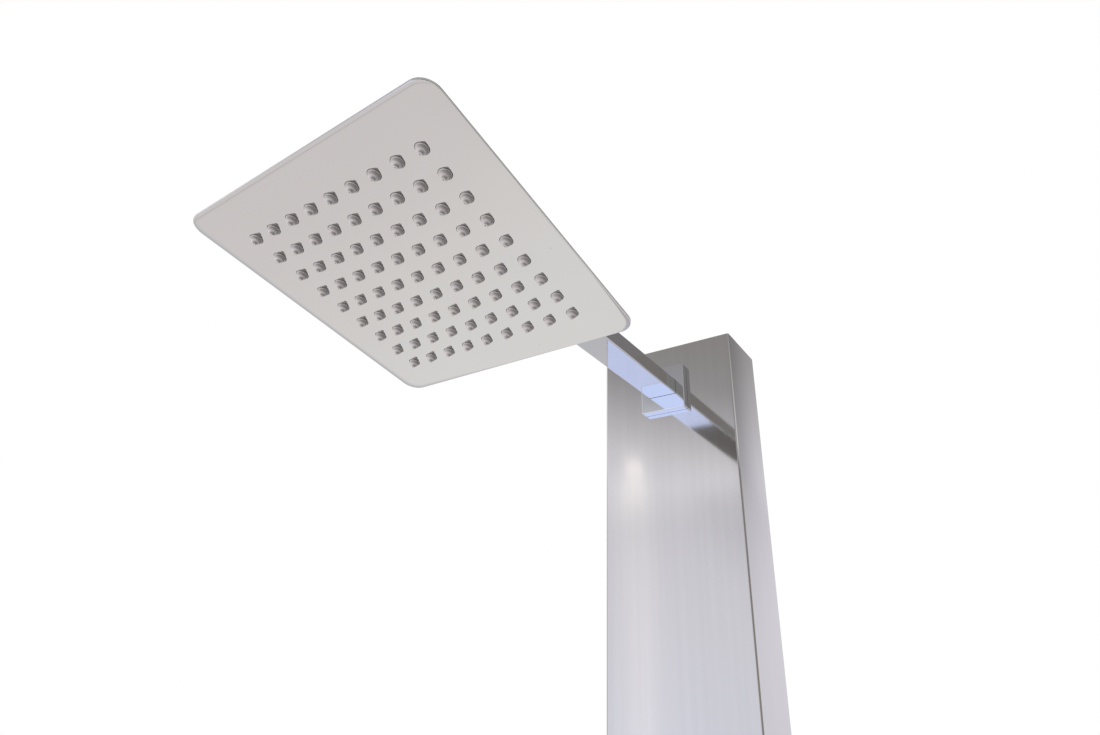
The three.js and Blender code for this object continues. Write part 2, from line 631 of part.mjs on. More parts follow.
function buildJoint() {
  const low = SOCKET.floor + GAP;
  const flatRing = ({ radius, bore, thickness }) => ring('z', radius, bore, low, low + thickness);
  add(joint, 'swivel_ball', swivelBall(), chrome);
  add(joint, 'swivel_washer', flatRing(SWIVEL_WASHER), rubber);
  add(joint, 'flow_regulator', flatRing(REGULATOR), whitePlastic);
}

// ---------------------------------------------------------------- rain head
// Moving half, tilted with the head. z = 0 is the ball's centre, -z is the way the water leaves.
const head = subgroup(column, 0, OUTLET_Y, BALL_Z);
head.rotation.x = -THREE.MathUtils.degToRad(HEAD.tilt);
const FACE = -HEAD.belowBall;
const MAT = { side: 156, thickness: 1.2 };
const MAT_LOW = FACE + HEAD.sheet + GAP;
const RIM = { inner: 184, plateau: 160, rise: 3.7 };
const HOLE_TO_CHAMBER = 6;
const PLATEAU_TOP = MAT_LOW + RIM.rise + HEAD.sheet;

function nozzlePlaces() {
  const places = [];
  const middle = (NOZZLES.perSide - 1) / 2;
  for (let row = 0; row < NOZZLES.perSide; row++) {
    for (let file = 0; file < NOZZLES.perSide; file++) {
      places.push([(file - middle) * NOZZLES.pitch, (row - middle) * NOZZLES.pitch]);
    }
  }
  return places;
}

// A plate made with its holes in the outline, so that it needs no cutting.
function facePlate() {
  const outline = roundedOutline(HEAD.side, HEAD.side, HEAD.corner, 5);
  for (const [x, y] of nozzlePlaces()) {
    const hole = new THREE.Path();
    for (let i = 0; i < NOZZLES.sides; i++) {
      const angle = (i / NOZZLES.sides) * 2 * Math.PI;
      const r = NOZZLES.radius + GAP;
      const point = [x + r * Math.cos(angle), y + r * Math.sin(angle)];
      if (i === 0) hole.moveTo(...point);
      else hole.lineTo(...point);
    }
    hole.closePath();
    outline.holes.push(hole);
  }
  const geometry = new THREE.ExtrudeGeometry(outline, { depth: HEAD.sheet, bevelEnabled: false });
  return solid(geometry.translate(0, 0, FACE));
}

// One nozzle: a short plug through the plate, a bulb below it and a straight tip below that.
function nozzle(x, y) {
  const { radius, tipRadius, bulb, length } = NOZZLES;
  const top = MAT_LOW + MAT.thickness / 2;
  const tip = FACE - length;
  const neck = FACE - bulb;
  const below = [[0, tip], [tipRadius, tip], [tipRadius, neck], [radius, FACE - GAP]];
  const profile = [...below, [radius, top], [0, top]];
  const points = profile.map(([r, z]) => new THREE.Vector2(r, z));
  const turned = new THREE.LatheGeometry(points, NOZZLES.sides).rotateX(Math.PI / 2);
  return solid(turned.rotateZ(Math.PI / 2).translate(x, y, 0));
}

function nozzleMat() {
  const sheet = plate(MAT.side, MAT.side, 4, MAT_LOW, MAT_LOW + MAT.thickness, 2);
  return join(sheet, ...nozzlePlaces().map(([x, y]) => nozzle(x, y)));
}

// A square frustum between two sides and two heights.
function pyramid(lowSide, highSide, z0, z1) {
  const geometry = new THREE.CylinderGeometry(highSide / Math.SQRT2, lowSide / Math.SQRT2, z1 - z0, 4);
  geometry.rotateY(Math.PI / 4);
  return solid(geometry.rotateX(Math.PI / 2).translate(0, 0, (z0 + z1) / 2));
}

// Pressed top sheet: a flat rim on the face plate, rising to a flat plateau over the water chamber.
function topPlate() {
  const { inner, plateau, rise } = RIM;
  const rim = plate(HEAD.side, HEAD.side, HEAD.corner, MAT_LOW, MAT_LOW + HEAD.sheet, 5);
  const hump = pyramid(inner, plateau, MAT_LOW + HEAD.sheet, PLATEAU_TOP);
  const hollow = pyramid(inner, plateau, MAT_LOW, MAT_LOW + rise);
  const skirt = pyramid(inner, inner, MAT_LOW - 1, MAT_LOW + 0.01);
  return cut(join(rim, hump), hollow, skirt, bar('z', HOLE_TO_CHAMBER, MAT_LOW, PLATEAU_TOP + 1));
}

const CUP_RADIUS = 10.6; // spherical seat round the ball and its rings
const HUB = { radius: 12, flange: 22, flangeThickness: 2, low: PLATEAU_TOP + GAP, top: -1 };
const COLLAR = { bore: HUB.radius + GAP, radius: 15.5, low: -9.5, shoulder: 3.5, top: 7.5, lip: 8.6 };
const LINER = [2, 5.5]; // heights of the two rings between the ball and its seat
const SEAL = [-7, -3];

// Threaded cup on the top plate that holds the ball from below.
function headHub() {
  const flange = bar('z', HUB.flange, HUB.low, HUB.low + HUB.flangeThickness, [0, 0, 0], 24);
  const boss = bar('z', HUB.radius, HUB.low, HUB.top, [0, 0, 0], 24);
  return cut(join(flange, boss), ball(CUP_RADIUS), bar('z', HOLE_TO_CHAMBER, HUB.low - 1, 0));
}

// Ring nut over the cup, with a lip that holds the ball from above.
function ballCollar() {
  const { bore, radius, low, shoulder, top, lip } = COLLAR;
  const outside = [[bore, low], [radius, low], [radius, shoulder], [HUB.radius, top], [lip, top]];
  const inside = [[lip, HUB.top + 2], [bore, HUB.top + GAP]];
  const profile = [...outside, ...inside, outside[0]];
  const points = profile.map(([r, z]) => new THREE.Vector2(r, z));
  const nut = solid(new THREE.LatheGeometry(points, 24).rotateX(Math.PI / 2));
  return cut(nut, ball(CUP_RADIUS));
}

function buildHead() {
  const ballRing = (span) => sphereZone(BALL.radius + GAP, CUP_RADIUS - GAP, ...span);
  add(head, 'ball_liner', ballRing(LINER), whitePlastic);
  add(head, 'ball_seal', ballRing(SEAL), rubber);
  add(head, 'ball_collar', ballCollar(), chrome);
  add(head, 'head_hub', headHub(), chrome);
  add(head, 'head_top_plate', topPlate(), polishedSteel);
  add(head, 'nozzle_mat', nozzleMat(), silicone);
  add(head, 'head_face_plate', facePlate(), polishedSteel);
}

buildColumnBody();
buildArm();
buildRiser();
buildMixer();
buildJoint();
buildHead();

export default column;
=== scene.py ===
import json
import math

import bmesh
import bpy
from mathutils import Matrix, Vector


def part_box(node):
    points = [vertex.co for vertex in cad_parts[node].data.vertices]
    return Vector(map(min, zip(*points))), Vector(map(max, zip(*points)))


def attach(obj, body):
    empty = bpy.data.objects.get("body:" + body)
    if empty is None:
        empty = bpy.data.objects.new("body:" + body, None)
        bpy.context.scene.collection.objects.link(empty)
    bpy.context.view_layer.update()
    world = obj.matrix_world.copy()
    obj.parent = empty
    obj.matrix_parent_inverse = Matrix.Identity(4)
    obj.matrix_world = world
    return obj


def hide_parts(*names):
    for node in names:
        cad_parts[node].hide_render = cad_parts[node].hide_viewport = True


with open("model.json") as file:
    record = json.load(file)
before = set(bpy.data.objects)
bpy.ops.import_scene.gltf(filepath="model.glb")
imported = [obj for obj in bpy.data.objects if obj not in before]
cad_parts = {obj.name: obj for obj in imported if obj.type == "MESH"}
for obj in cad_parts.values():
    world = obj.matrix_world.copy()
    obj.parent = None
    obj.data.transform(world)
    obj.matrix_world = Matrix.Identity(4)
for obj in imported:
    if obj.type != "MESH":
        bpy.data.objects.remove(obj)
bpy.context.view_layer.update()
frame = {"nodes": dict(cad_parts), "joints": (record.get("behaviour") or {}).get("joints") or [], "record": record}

MM = 0.001
NODES = frame["nodes"]
RECORD = frame["record"]
BODY_OF = {n: body for body, names in RECORD["behaviour"]["bodies"].items() for n in names}
SLOT_OF = {part["node"]: part["material_slot"] for part in RECORD["subparts"]}
JOINTS = {joint["name"]: joint for joint in frame["joints"]}


# ------------------------------------------------------------------ places taken from the frame
def extent(name, at=None):
    """Lowest and highest corner of a CAD node in millimetres, in the frame or in a matrix's space."""
    if at is None:
        low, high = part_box(name)
        return low / MM, high / MM
    back = at.inverted()
    points = [back @ v.co for v in NODES[name].data.vertices]
    return (Vector([min(p[i] for p in points) for i in range(3)]),
            Vector([max(p[i] for p in points) for i in range(3)]))


def span(name, axis, at=None):
    """Where a CAD node starts and ends along one axis, in millimetres."""
    return [getattr(corner, axis) for corner in extent(name, at)]


def place(x, y, z, turn=None):
    """Matrix that takes a shape drawn in millimetres to a point of the frame, also in millimetres."""
    return Matrix.Translation(Vector((x, y, z)) * MM) @ (turn or Matrix()) @ Matrix.Scale(MM, 4)


def along(axis):
    """Turn that lays a shape's own Z along X or Y. Y keeps X level and sends the shape's Y to -Z."""
    rows = {"x": ((0, 0, 1), (1, 0, 0), (0, 1, 0)), "y": ((1, 0, 0), (0, 0, 1), (0, -1, 0))}
    return Matrix(rows[axis]).to_4x4()


SHELL_LOW, SHELL_HIGH = extent("column_shell")
HALF_WIDTH = SHELL_HIGH.x
FRONT, BACK = SHELL_LOW.y, SHELL_HIGH.y
FOOT, TOP = SHELL_LOW.z, SHELL_HIGH.z
SHEET = 1.5
ARM_Z = sum(span("arm_flange", "z")) / 2
BALL_AT = Vector(JOINTS["head_spin"]["pos_m"]) / MM
HEAD_UP = Vector(JOINTS["head_spin"]["axis"])
MIXER_Z = JOINTS["mixer_turn"]["pos_m"][2] / MM
PIVOT = JOINTS["mixer_turn"]["pos_m"][1] / MM - FRONT
RISER_Y = sum(span("hose_nut_upper", "y")) / 2

WORLD = place(0, 0, 0)
MIXER = place(0, FRONT, MIXER_Z)
MIXER_AXIS = place(0, FRONT, MIXER_Z, along("y"))
UPRIGHT_BALL = place(*BALL_AT)
HEAD = place(*BALL_AT, Vector((0, 0, 1)).rotation_difference(HEAD_UP).to_matrix().to_4x4())


# ------------------------------------------------------------------ outlines and profiles
CORNER_STEPS = 12  # in the round corner of a plate
EDGE_STEPS = 3  # in a rounded edge


def rounded(points, radius, steps=EDGE_STEPS):
    """A closed outline with its corners turned into arcs. A third number is a corner's own radius."""
    result = []
    for i, point in enumerate(points):
        corner = Vector(point[:2])
        before = Vector(points[i - 1][:2]) - corner
        after = Vector(points[(i + 1) % len(points)][:2]) - corner
        wanted = point[2] if len(point) > 2 else radius
        angle = before.angle(after)
        if wanted <= 0 or angle > math.pi - 0.001:
            result.append(tuple(corner))
            continue
        room = 0.45 * min(before.length, after.length)
        reach = min(wanted / math.tan(angle / 2), room)
        size = reach * math.tan(angle / 2)
        before.normalize()
        after.normalize()
        centre = corner + (before + after).normalized() * (size / math.sin(angle / 2))
        first = corner + before * reach - centre
        last = corner + after * reach - centre
        start = math.atan2(first.y, first.x)
        sweep = (math.atan2(last.y, last.x) - start + math.pi) % (2 * math.pi) - math.pi
        for k in range(steps + 1):
            a = start + sweep * k / steps
            result.append((centre.x + size * math.cos(a), centre.y + size * math.sin(a)))
    return result


def loop(width, height, radius, z):
    """A rectangle with round corners, at one height. A circle is one whose radius is half its side."""
    radius = min(radius, width / 2, height / 2)
    points = []
    for quarter, (sx, sy) in enumerate([(1, 1), (-1, 1), (-1, -1), (1, -1)]):
        for k in range(CORNER_STEPS + 1):
            a = (quarter + k / CORNER_STEPS) * math.pi / 2
            x = sx * (width / 2 - radius) + radius * math.cos(a)
            y = sy * (height / 2 - radius) + radius * math.sin(a)
            points.append((x, y, z))
    return points


def ring_loop(radius, z):
    return loop(2 * radius, 2 * radius, radius, z)


def edge_loops(width, height, corner, z0, z1, edge):
    """Loops of a plate from z0 to z1 whose edges are rounded."""
    steps = range(EDGE_STEPS + 1)
    loops = []
    for z, sign, order in ((z0, 1, steps), (z1, -1, steps[::-1])):
        for k in order:
            a = k / EDGE_STEPS * math.pi / 2
            inset = edge * (1 - math.sin(a))
            rise = edge * (1 - math.cos(a))
            size = (width - 2 * inset, height - 2 * inset)
            loops.append(loop(*size, max(corner - inset, 0.05), z + sign * rise))
    return loops


def polygon(radius, count):
    """Corners of a regular polygon, from the X axis on."""
    angles = [2 * math.pi * k / count for k in range(count)]
    return [(radius * math.cos(a), radius * math.sin(a)) for a in angles]


def arc(radius, start, end, steps=10, centre=0):
    """Points (radius, height) on a sphere, from one height to another, never rounded further."""
    first, last = (math.asin((z - centre) / radius) for z in (start, end))
    angles = [first + (last - first) * k / steps for k in range(steps + 1)]
    return [(radius * math.cos(a), centre + radius * math.sin(a), 0) for a in angles]


def height_at(radius, across):
    """Height above a sphere's middle at which it is only so far across."""
    return math.sqrt(radius ** 2 - across ** 2)


def groove(radius, depth, start, end, slope=0.4, corner=0.2):
    """Points (radius, height, corner) of a groove with sloping sides, for a turned profile."""
    floor = radius - depth
    return [(radius, start, corner), (floor, start + slope, corner), (floor, end - slope, corner),
            (radius, end, corner)]


# ------------------------------------------------------------------ meshes
def bridge(bm, a, b, material=0):
    """Quads between two equal closed rows of vertices."""
    for i in range(len(a)):
        j = (i + 1) % len(a)
        bm.faces.new((a[i], a[j], b[j], b[i])).material_index = material


def skin(loops, closed=False):
    """Joins equal loops of points into one surface, with flat ends unless it closes on itself."""
    bm = bmesh.new()
    rows = [[bm.verts.new(p) for p in points] for points in loops]
    for a, b in zip(rows, rows[1:]):
        bridge(bm, a, b)
    if closed:
        bridge(bm, rows[-1], rows[0])
    else:
        bm.faces.new(rows[0])
        bm.faces.new(rows[-1])
    return tidy(bm)


def outward(bm):
    """Turns the front of every face outwards."""
    bmesh.ops.recalc_face_normals(bm, faces=bm.faces)
    return bm


def tidy(bm):
    """Welds the points that meet, and drops what that flattens."""
    bmesh.ops.remove_doubles(bm, verts=bm.verts, dist=1e-4)
    bmesh.ops.dissolve_degenerate(bm, edges=bm.edges, dist=1e-5)
    return outward(bm)


def slab(width, height, corner, z0, z1, edge):
    return skin(edge_loops(width, height, corner, z0, z1, edge))


def lathe(profile, radius=0, segments=64):
    """A closed profile of (radius, height) points, its corners rounded, turned about Z."""
    outline = rounded(profile, radius)
    rows = [[(r * x, r * y, z) for r, z in outline] for x, y in polygon(1, segments)]
    return skin(rows, closed=True)


def tube(outer, inner, z0, z1, edge):
    return lathe([(inner, z0), (outer, z0), (outer, z1), (inner, z1)], edge)


def rod(radius, z0, z1, edge=0, segments=64):
    """A solid round bar, with rounded rims."""
    return lathe([(0, z0, 0), (radius, z0), (radius, z1), (0, z1, 0)], edge, segments)


def sphere(radius, centre=(0, 0, 0), rows=32):
    bm = bmesh.new()
    at = Matrix.Translation(centre)
    bmesh.ops.create_uvsphere(bm, u_segments=2 * rows, v_segments=rows, radius=radius, matrix=at)
    return bm


def prism(outline, z0, z1):
    return skin([[(x, y, z) for x, y in outline] for z in (z0, z1)])


def box(low, high):
    (x0, y0, z0), (x1, y1, z1) = low, high
    return prism([(x0, y0), (x1, y0), (x1, y1), (x0, y1)], z0, z1)


def moved(bm, x=0, y=0, z=0, turn=None):
    bm.transform(Matrix.Translation((x, y, z)) @ (turn or Matrix()))
    return bm


def bar(axis, radius, start, end, at=(0, 0, 0), edge=0, segments=64):
    """A round bar along an axis, from one place on it to another."""
    made = rod(radius, min(start, end), max(start, end), edge, segments)
    return moved(made, *at, turn=along(axis))


def around(count, make):
    """Shapes at equal steps round Z, each made anew."""
    return [moved(make(), turn=Matrix.Rotation(2 * math.pi * k / count, 4, "Z")) for k in range(count)]


def combine(operation, first, *others):
    """Boolean of bmesh solids: UNION, DIFFERENCE or INTERSECT."""
    result = to_object("work", first)
    for other in others:
        tool = to_object("tool", other)
        change = result.modifiers.new("boolean", "BOOLEAN")
        change.operation = operation
        change.solver = "EXACT"
        change.object = tool
        bpy.context.view_layer.update()
        depsgraph = bpy.context.evaluated_depsgraph_get()
        mesh = bpy.data.meshes.new_from_object(result.evaluated_get(depsgraph))
        result.modifiers.clear()
        result.data = mesh
        bpy.data.objects.remove(tool)
    bm = bmesh.new()
    bm.from_mesh(result.data)
    bpy.data.objects.remove(result)
    return tidy(bm)


def join(first, *others):
    return combine("UNION", first, *others)


def cut(first, *others):
    return combine("DIFFERENCE", first, *others)


def to_object(name, bm):
    mesh = bpy.data.meshes.new(name)
    bm.to_mesh(mesh)
    bm.free()
    obj = bpy.data.objects.new(name, mesh)
    bpy.context.scene.collection.objects.link(obj)
    return obj


def soften(bm, width, above):
    """Rounds the edges that turn by more than an angle."""
    limit = math.radians(above)
    edges = [e for e in bm.edges if len(e.link_faces) == 2 and e.calc_face_angle(0) > limit]
    bmesh.ops.bevel(bm, geom=edges, offset=width, segments=2, profile=0.5, affect="EDGES",
                    clamp_overlap=True)
    return tidy(bm)


SHARP = math.radians(38)


def show(bm, name, at=WORLD, material=None):
    """Makes the piece that stands for a CAD node, on the node's body, in its slot's material unless another is
    given, and hides the node.
    """
    bm.transform(at)
    for face in bm.faces:
        face.smooth = True
    for edge in bm.edges:
        edge.smooth = edge.calc_face_angle(0) < SHARP
    piece = to_object(f"fine_{name}", bm)
    piece.data.materials.append(material or MATERIALS[SLOT_OF[name]])
    even = piece.modifiers.new("even_normals", "WEIGHTED_NORMAL")
    even.keep_sharp = True
    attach(piece, BODY_OF[name])
    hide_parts(name)
    return piece


# ------------------------------------------------------------------ shader helpers
class Graph:
    """Nodes of one shader tree. A value is a number, a colour or another node's output."""

    def __init__(self, tree):
        self.tree = tree

    def node(self, kind, **values):
        made = self.tree.nodes.new(kind)
        for key, value in values.items():
            setattr(made, key, value)
        return made

    def feed(self, socket, value):
        if isinstance(value, (int, float)):
            socket.default_value = value
        elif isinstance(value, (tuple, Vector)):
            width = len(socket.default_value)
            socket.default_value = (*value, 1)[:width]
        else:
            self.tree.links.new(value, socket)

    def filled(self, made, *values):
        """Feeds a node's first sockets and returns its first output."""
        for socket, value in zip(made.inputs, values):
            self.feed(socket, value)
        return made.outputs[0]

    def math(self, operation, *values):
        return self.filled(self.node("ShaderNodeMath", operation=operation), *values)

    def product(self, first, *others):
        for value in others:
            first = self.math("MULTIPLY", first, value)
        return first

    def split(self, vector):
        """The X, Y and Z of a vector."""
        made = self.node("ShaderNodeSeparateXYZ")
        self.feed(made.inputs[0], vector)
        return made.outputs

    def ramp(self, factor, stops):
        """Colour ramp. A stop is a position and a colour."""
        made = self.node("ShaderNodeValToRGB")
        elements = made.color_ramp.elements
        while len(elements) < len(stops):
            elements.new(0.5)
        for element, (position, color) in zip(elements, stops):
            element.position = position
            element.color = (*color, 1)
        return self.filled(made, factor)

    def mix(self, factor, a, b, blend="MIX"):
        """Mixes two colours."""
        made = self.node("ShaderNodeMix", data_type="RGBA", blend_type=blend)
        for index, value in ((0, factor), (6, a), (7, b)):
            self.feed(made.inputs[index], value)
        return made.outputs[2]

    def between(self, value, low, high, to_low=0.0, to_high=1.0, kind="LINEAR"):
        """Takes one range of a value to another, and holds the ends."""
        made = self.node("ShaderNodeMapRange", interpolation_type=kind)
        return self.filled(made, value, low, high, to_low, to_high)

    def soft(self, value, low, high):
        return self.between(value, low, high, kind="SMOOTHSTEP")

    def spread(self, noise, to_low=0.0, to_high=1.0):
        """Takes the range that most of a noise falls in to another."""
        return self.between(noise, 0.3, 0.7, to_low, to_high)


class Surface(Graph):
    """One procedural material: a Principled shader and the object-space textures that feed it."""

    def __init__(self, name, metallic=0.0, **constants):
        self.material = bpy.data.materials.new(name)
        self.material.use_nodes = True
        super().__init__(self.material.node_tree)
        self.inputs = self.tree.nodes["Principled BSDF"].inputs
        self.inputs["Metallic"].default_value = metallic
        for key, value in constants.items():
            self.inputs[key.replace("_", " ")].default_value = value
        self.where = self.node("ShaderNodeTexCoord").outputs["Object"]

    def texture(self, kind, size_mm, stretch):
        """Texture whose features are about a size, drawn out where the stretch is under 1."""
        mapping = self.node("ShaderNodeMapping")
        self.feed(mapping.inputs["Scale"], stretch)
        self.feed(mapping.inputs["Vector"], self.where)
        made = self.node(kind)
        self.feed(made.inputs["Vector"], mapping.outputs[0])
        self.feed(made.inputs["Scale"], 1 / (size_mm * MM))
        return made

    def noise(self, size_mm, stretch=(1, 1, 1), detail=3.0, roughness=0.5):
        made = self.texture("ShaderNodeTexNoise", size_mm, stretch)
        self.feed(made.inputs["Detail"], detail)
        self.feed(made.inputs["Roughness"], roughness)
        return made.outputs["Fac"]

    def cells(self, size_mm):
        return self.texture("ShaderNodeTexVoronoi", size_mm, (1, 1, 1)).outputs["Distance"]

    def finish(self, color, roughness, *reliefs):
        """Feeds the shader. A relief is a height and its depth in millimetres, on those before it."""
        self.feed(self.inputs["Base Color"], color)
        self.feed(self.inputs["Roughness"], roughness)
        normal = None
        for height, depth_mm in reliefs:
            made = self.node("ShaderNodeBump")
            made.inputs["Strength"].default_value = 1.0
            self.feed(made.inputs["Distance"], depth_mm * MM)
            self.feed(made.inputs["Height"], height)
            if normal:
                self.feed(made.inputs["Normal"], normal)
            normal = made.outputs[0]
        self.feed(self.inputs["Normal"], normal)
        return self.material


# ------------------------------------------------------------------ materials
STEEL_LIGHT = (0.648, 0.640, 0.634)
STEEL_DARK = (0.622, 0.615, 0.610)


def add_specks(surface, color, size_mm, share):
    """Sparse dark marks of a few tenths of a millimetre."""
    spot = surface.between(surface.cells(size_mm), share, share * 1.6, 1.0, 0.0)
    return surface.mix(surface.product(spot, 0.55), color, (0.16, 0.15, 0.15))


def polished_steel(name, grain=(1, 1, 0.02), specks=False):
    """Mirror-polished sheet: faint grain, wiped smudges and a very slight wave."""
    surface = Surface(name, metallic=1.0)
    smudge = surface.between(surface.noise(38, detail=5), 0.48, 0.72)
    line = surface.noise(0.6, grain, detail=2)
    tone = surface.mix(surface.noise(55), STEEL_DARK, STEEL_LIGHT)
    if specks:
        tone = add_specks(surface, tone, 24, 0.012)
    lined = surface.between(line, 0.35, 0.75, 0.035, 0.075)
    film = surface.math("MULTIPLY_ADD", smudge, 0.045, lined)
    return surface.finish(tone, film, (surface.noise(70, detail=1), 0.05), (line, 0.0002))


def column_steel():
    """The folded column: a mirror at the top that passes into a soft upright polish lower down.
    Below the mirror, a brownish painted dark reflection runs down the bend of its front corners."""
    surface = Surface("column_steel", metallic=1.0, Anisotropic=1.0, Anisotropic_Rotation=0.25)
    tangent = surface.node("ShaderNodeTangent", direction_type="RADIAL", axis="Z")
    surface.feed(surface.inputs["Tangent"], tangent.outputs[0])
    x, y, z = surface.split(surface.where)
    mirror_end, satin_start = (TOP - 128) * MM, (TOP - 200) * MM
    satin = surface.soft(z, mirror_end, satin_start)
    streak = surface.noise(6, (1, 1, 0.012), detail=4, roughness=0.6)
    fine = surface.noise(0.7, (1, 1, 0.01), detail=2)
    tone = surface.mix(surface.spread(streak), STEEL_DARK, STEEL_LIGHT)
    tone = add_specks(surface, tone, 30, 0.010)
    outness = surface.math("SUBTRACT", surface.math("ABSOLUTE", x), y)
    corner = HALF_WIDTH - FRONT
    # painted reflection: below the mirror part, the bend of the front corners is tinted a dark brownish tone that
    # stands in for the bend's dark reflection
    bend = surface.between(outness, (corner - 1.6) * MM, (corner - 1.3) * MM)
    painted_bend_reflection = surface.product(bend, surface.between(z, (TOP - 120) * MM, (TOP - 145) * MM))
    tone = surface.mix(painted_bend_reflection, tone, (0.27, 0.245, 0.235))
    mirror, polish = surface.spread(fine, 0.041, 0.047), surface.spread(streak, 0.210, 0.215)
    roughness = surface.between(satin, 0.0, 1.0, mirror, polish)
    return surface.finish(tone, roughness, (surface.noise(90, (1, 1, 0.4), detail=1), 0.03))


def plain_steel():
    """Satin mill finish with a directional grain and dull clouds."""
    surface = Surface("plain_steel", metallic=1.0)
    grain = surface.noise(0.5, (0.03, 1, 1), detail=3)
    tone = surface.mix(surface.noise(22, detail=4), (0.46, 0.46, 0.47), (0.60, 0.60, 0.61))
    return surface.finish(tone, surface.spread(grain, 0.27, 0.43), (grain, 0.006))


def chrome(name, dark, light):
    """Plated brass: bright, with water spots and the polisher's faint ripples."""
    surface = Surface(name, metallic=1.0)
    spots = surface.between(surface.cells(9), 0.22, 0.30)
    cloud = surface.noise(16, detail=4)
    film = surface.between(cloud, 0.4, 0.8, 0.03, 0.08)
    film = surface.math("MULTIPLY_ADD", surface.math("SUBTRACT", 1.0, spots), 0.05, film)
    return surface.finish(surface.mix(cloud, dark, light), film, (surface.noise(14, detail=2), 0.012))


def brass():
    """Turned and cast brass, browned in random clouds."""
    surface = Surface("brass", metallic=1.0)
    cloud = surface.noise(9, detail=5, roughness=0.6)
    grain = surface.noise(0.4, (1, 0.25, 1), detail=3)
    stops = [(0.3, (0.42, 0.27, 0.10)), (0.55, (0.66, 0.47, 0.20)), (0.8, (0.75, 0.57, 0.28))]
    roughness = surface.between(surface.math("ADD", cloud, grain), 0.7, 1.3, 0.22, 0.45)
    return surface.finish(surface.ramp(cloud, stops), roughness, (grain, 0.012), (cloud, 0.03))


def braid():
    """Stainless wire of the hose braid: bright crowns and dull crossings."""
    surface = Surface("braid", metallic=1.0)
    wires = surface.noise(0.35, (1, 1, 0.2), detail=3)
    tone = surface.mix(surface.noise(30, detail=4), (0.50, 0.51, 0.52), (0.66, 0.67, 0.68))
    return surface.finish(tone, surface.spread(wires, 0.22, 0.42), (wires, 0.03))


def soft_polymer(name, dark, light, roughness, pore_mm):
    """Silicone or rubber: cloudy tone, fine pores and a dusty bloom."""
    surface = Surface(name, Sheen_Weight=0.1, Specular_IOR_Level=0.4)
    tone = surface.mix(surface.noise(6, detail=4), dark, light)
    pore = surface.noise(pore_mm, detail=3)
    return surface.finish(tone, surface.spread(pore, roughness - 0.07, roughness + 0.07), (pore, 0.01))


def plastic(name, dark, light, roughness):
    """Moulded plastic: faint flow lines, a fine spark texture and rubbed patches."""
    surface = Surface(name, Specular_IOR_Level=0.5)
    flow = surface.noise(7, (1, 1, 0.3), detail=3)
    rubbed = surface.spread(flow, roughness + 0.06, roughness - 0.06)
    return surface.finish(surface.mix(flow, dark, light), rubbed, (surface.noise(0.25, detail=2), 0.006))


def ceramic():
    """Lapped alumina: ivory, with grey inclusions and a near-mirror face."""
    surface = Surface("ceramic", Coat_Weight=0.35, Coat_Roughness=0.06)
    speck = surface.between(surface.noise(0.3, detail=2), 0.62, 0.75)
    tone = surface.mix(surface.noise(5), (0.80, 0.77, 0.69), (0.86, 0.84, 0.78))
    tone = surface.mix(surface.product(speck, 0.3), tone, (0.5, 0.48, 0.44))
    lapped = surface.spread(surface.noise(1.5), 0.12, 0.24)
    return surface.finish(tone, lapped, (surface.noise(0.2), 0.002))


MATERIALS = {
    "polished_steel": polished_steel("polished_steel"),
    "plain_steel": plain_steel(),
    "chrome": chrome("chrome", (0.66, 0.665, 0.675), (0.71, 0.715, 0.725)),
    "brass": brass(),
    "braided_hose": braid(),
    "silicone": soft_polymer("silicone", (0.225, 0.212, 0.206), (0.275, 0.262, 0.256), 0.5, 0.5),
    "rubber": soft_polymer("rubber", (0.018, 0.018, 0.02), (0.04, 0.04, 0.042), 0.7, 0.4),
    "ceramic": ceramic(),
    "white_plastic": plastic("white_plastic", (0.74, 0.73, 0.70), (0.82, 0.81, 0.78), 0.42),
    "blue_plastic": plastic("blue_plastic", (0.06, 0.15, 0.34), (0.09, 0.20, 0.42), 0.38),
}
COLUMN_STEEL = column_steel()
FACE_STEEL = polished_steel("face_plate_steel", grain=(0.02, 1, 1), specks=True)
ARM_STEEL = polished_steel("arm_steel", grain=(1, 0.02, 1))
FLANGE_CHROME = chrome("flange_chrome", (0.66, 0.68, 0.71), (0.70, 0.72, 0.75))


def dress_cad_nodes():
    """Every CAD node gets its slot's material, whether a finer piece stands for it or not."""
    for name, obj in NODES.items():
        obj.data.materials.clear()
        obj.data.materials.append(MATERIALS[SLOT_OF[name]])


# ------------------------------------------------------------------ column body
THREAD = 10.3  # radius of a G 1/2 thread over its crests
PITCH = 1.81
THREAD_BORE = 10.6  # what a thread passes through
ARM_HOLE = 10.8
MIXER_HOLE = 20.6


def column_shell():
    """One sheet folded round the front and sides, with its edges returned at the back."""
    bend, lip = 2.0, 15.0
    end = HALF_WIDTH - lip
    inner = HALF_WIDTH - SHEET
    half = [
        (HALF_WIDTH, FRONT, bend), (HALF_WIDTH, BACK, bend), (end, BACK, 0.2), (end, BACK - SHEET, 0.2),
        (inner, BACK - SHEET, bend - SHEET), (inner, FRONT + SHEET, bend - SHEET),
    ]
    mirrored = [(-x, y, r) for x, y, r in reversed(half)]
    sheet = prism(rounded(half + mirrored, 0, 8), FOOT, TOP)
    holes = [bar("y", radius, FRONT - 2, FRONT + 4, (0, 0, z))
             for radius, z in ((ARM_HOLE, ARM_Z), (MIXER_HOLE, MIXER_Z))]
    shell = soften(cut(sheet, *holes), 0.15, above=50)
    for face in shell.faces:
        middle = face.calc_center_median()
        inside = abs(middle.x) < inner + 0.1 and FRONT + SHEET - 0.1 < middle.y < BACK - SHEET + 0.1
        face.material_index = int(inside)
    piece = show(shell, "column_shell", material=COLUMN_STEEL)
    piece.data.materials.append(MATERIALS["plain_steel"])


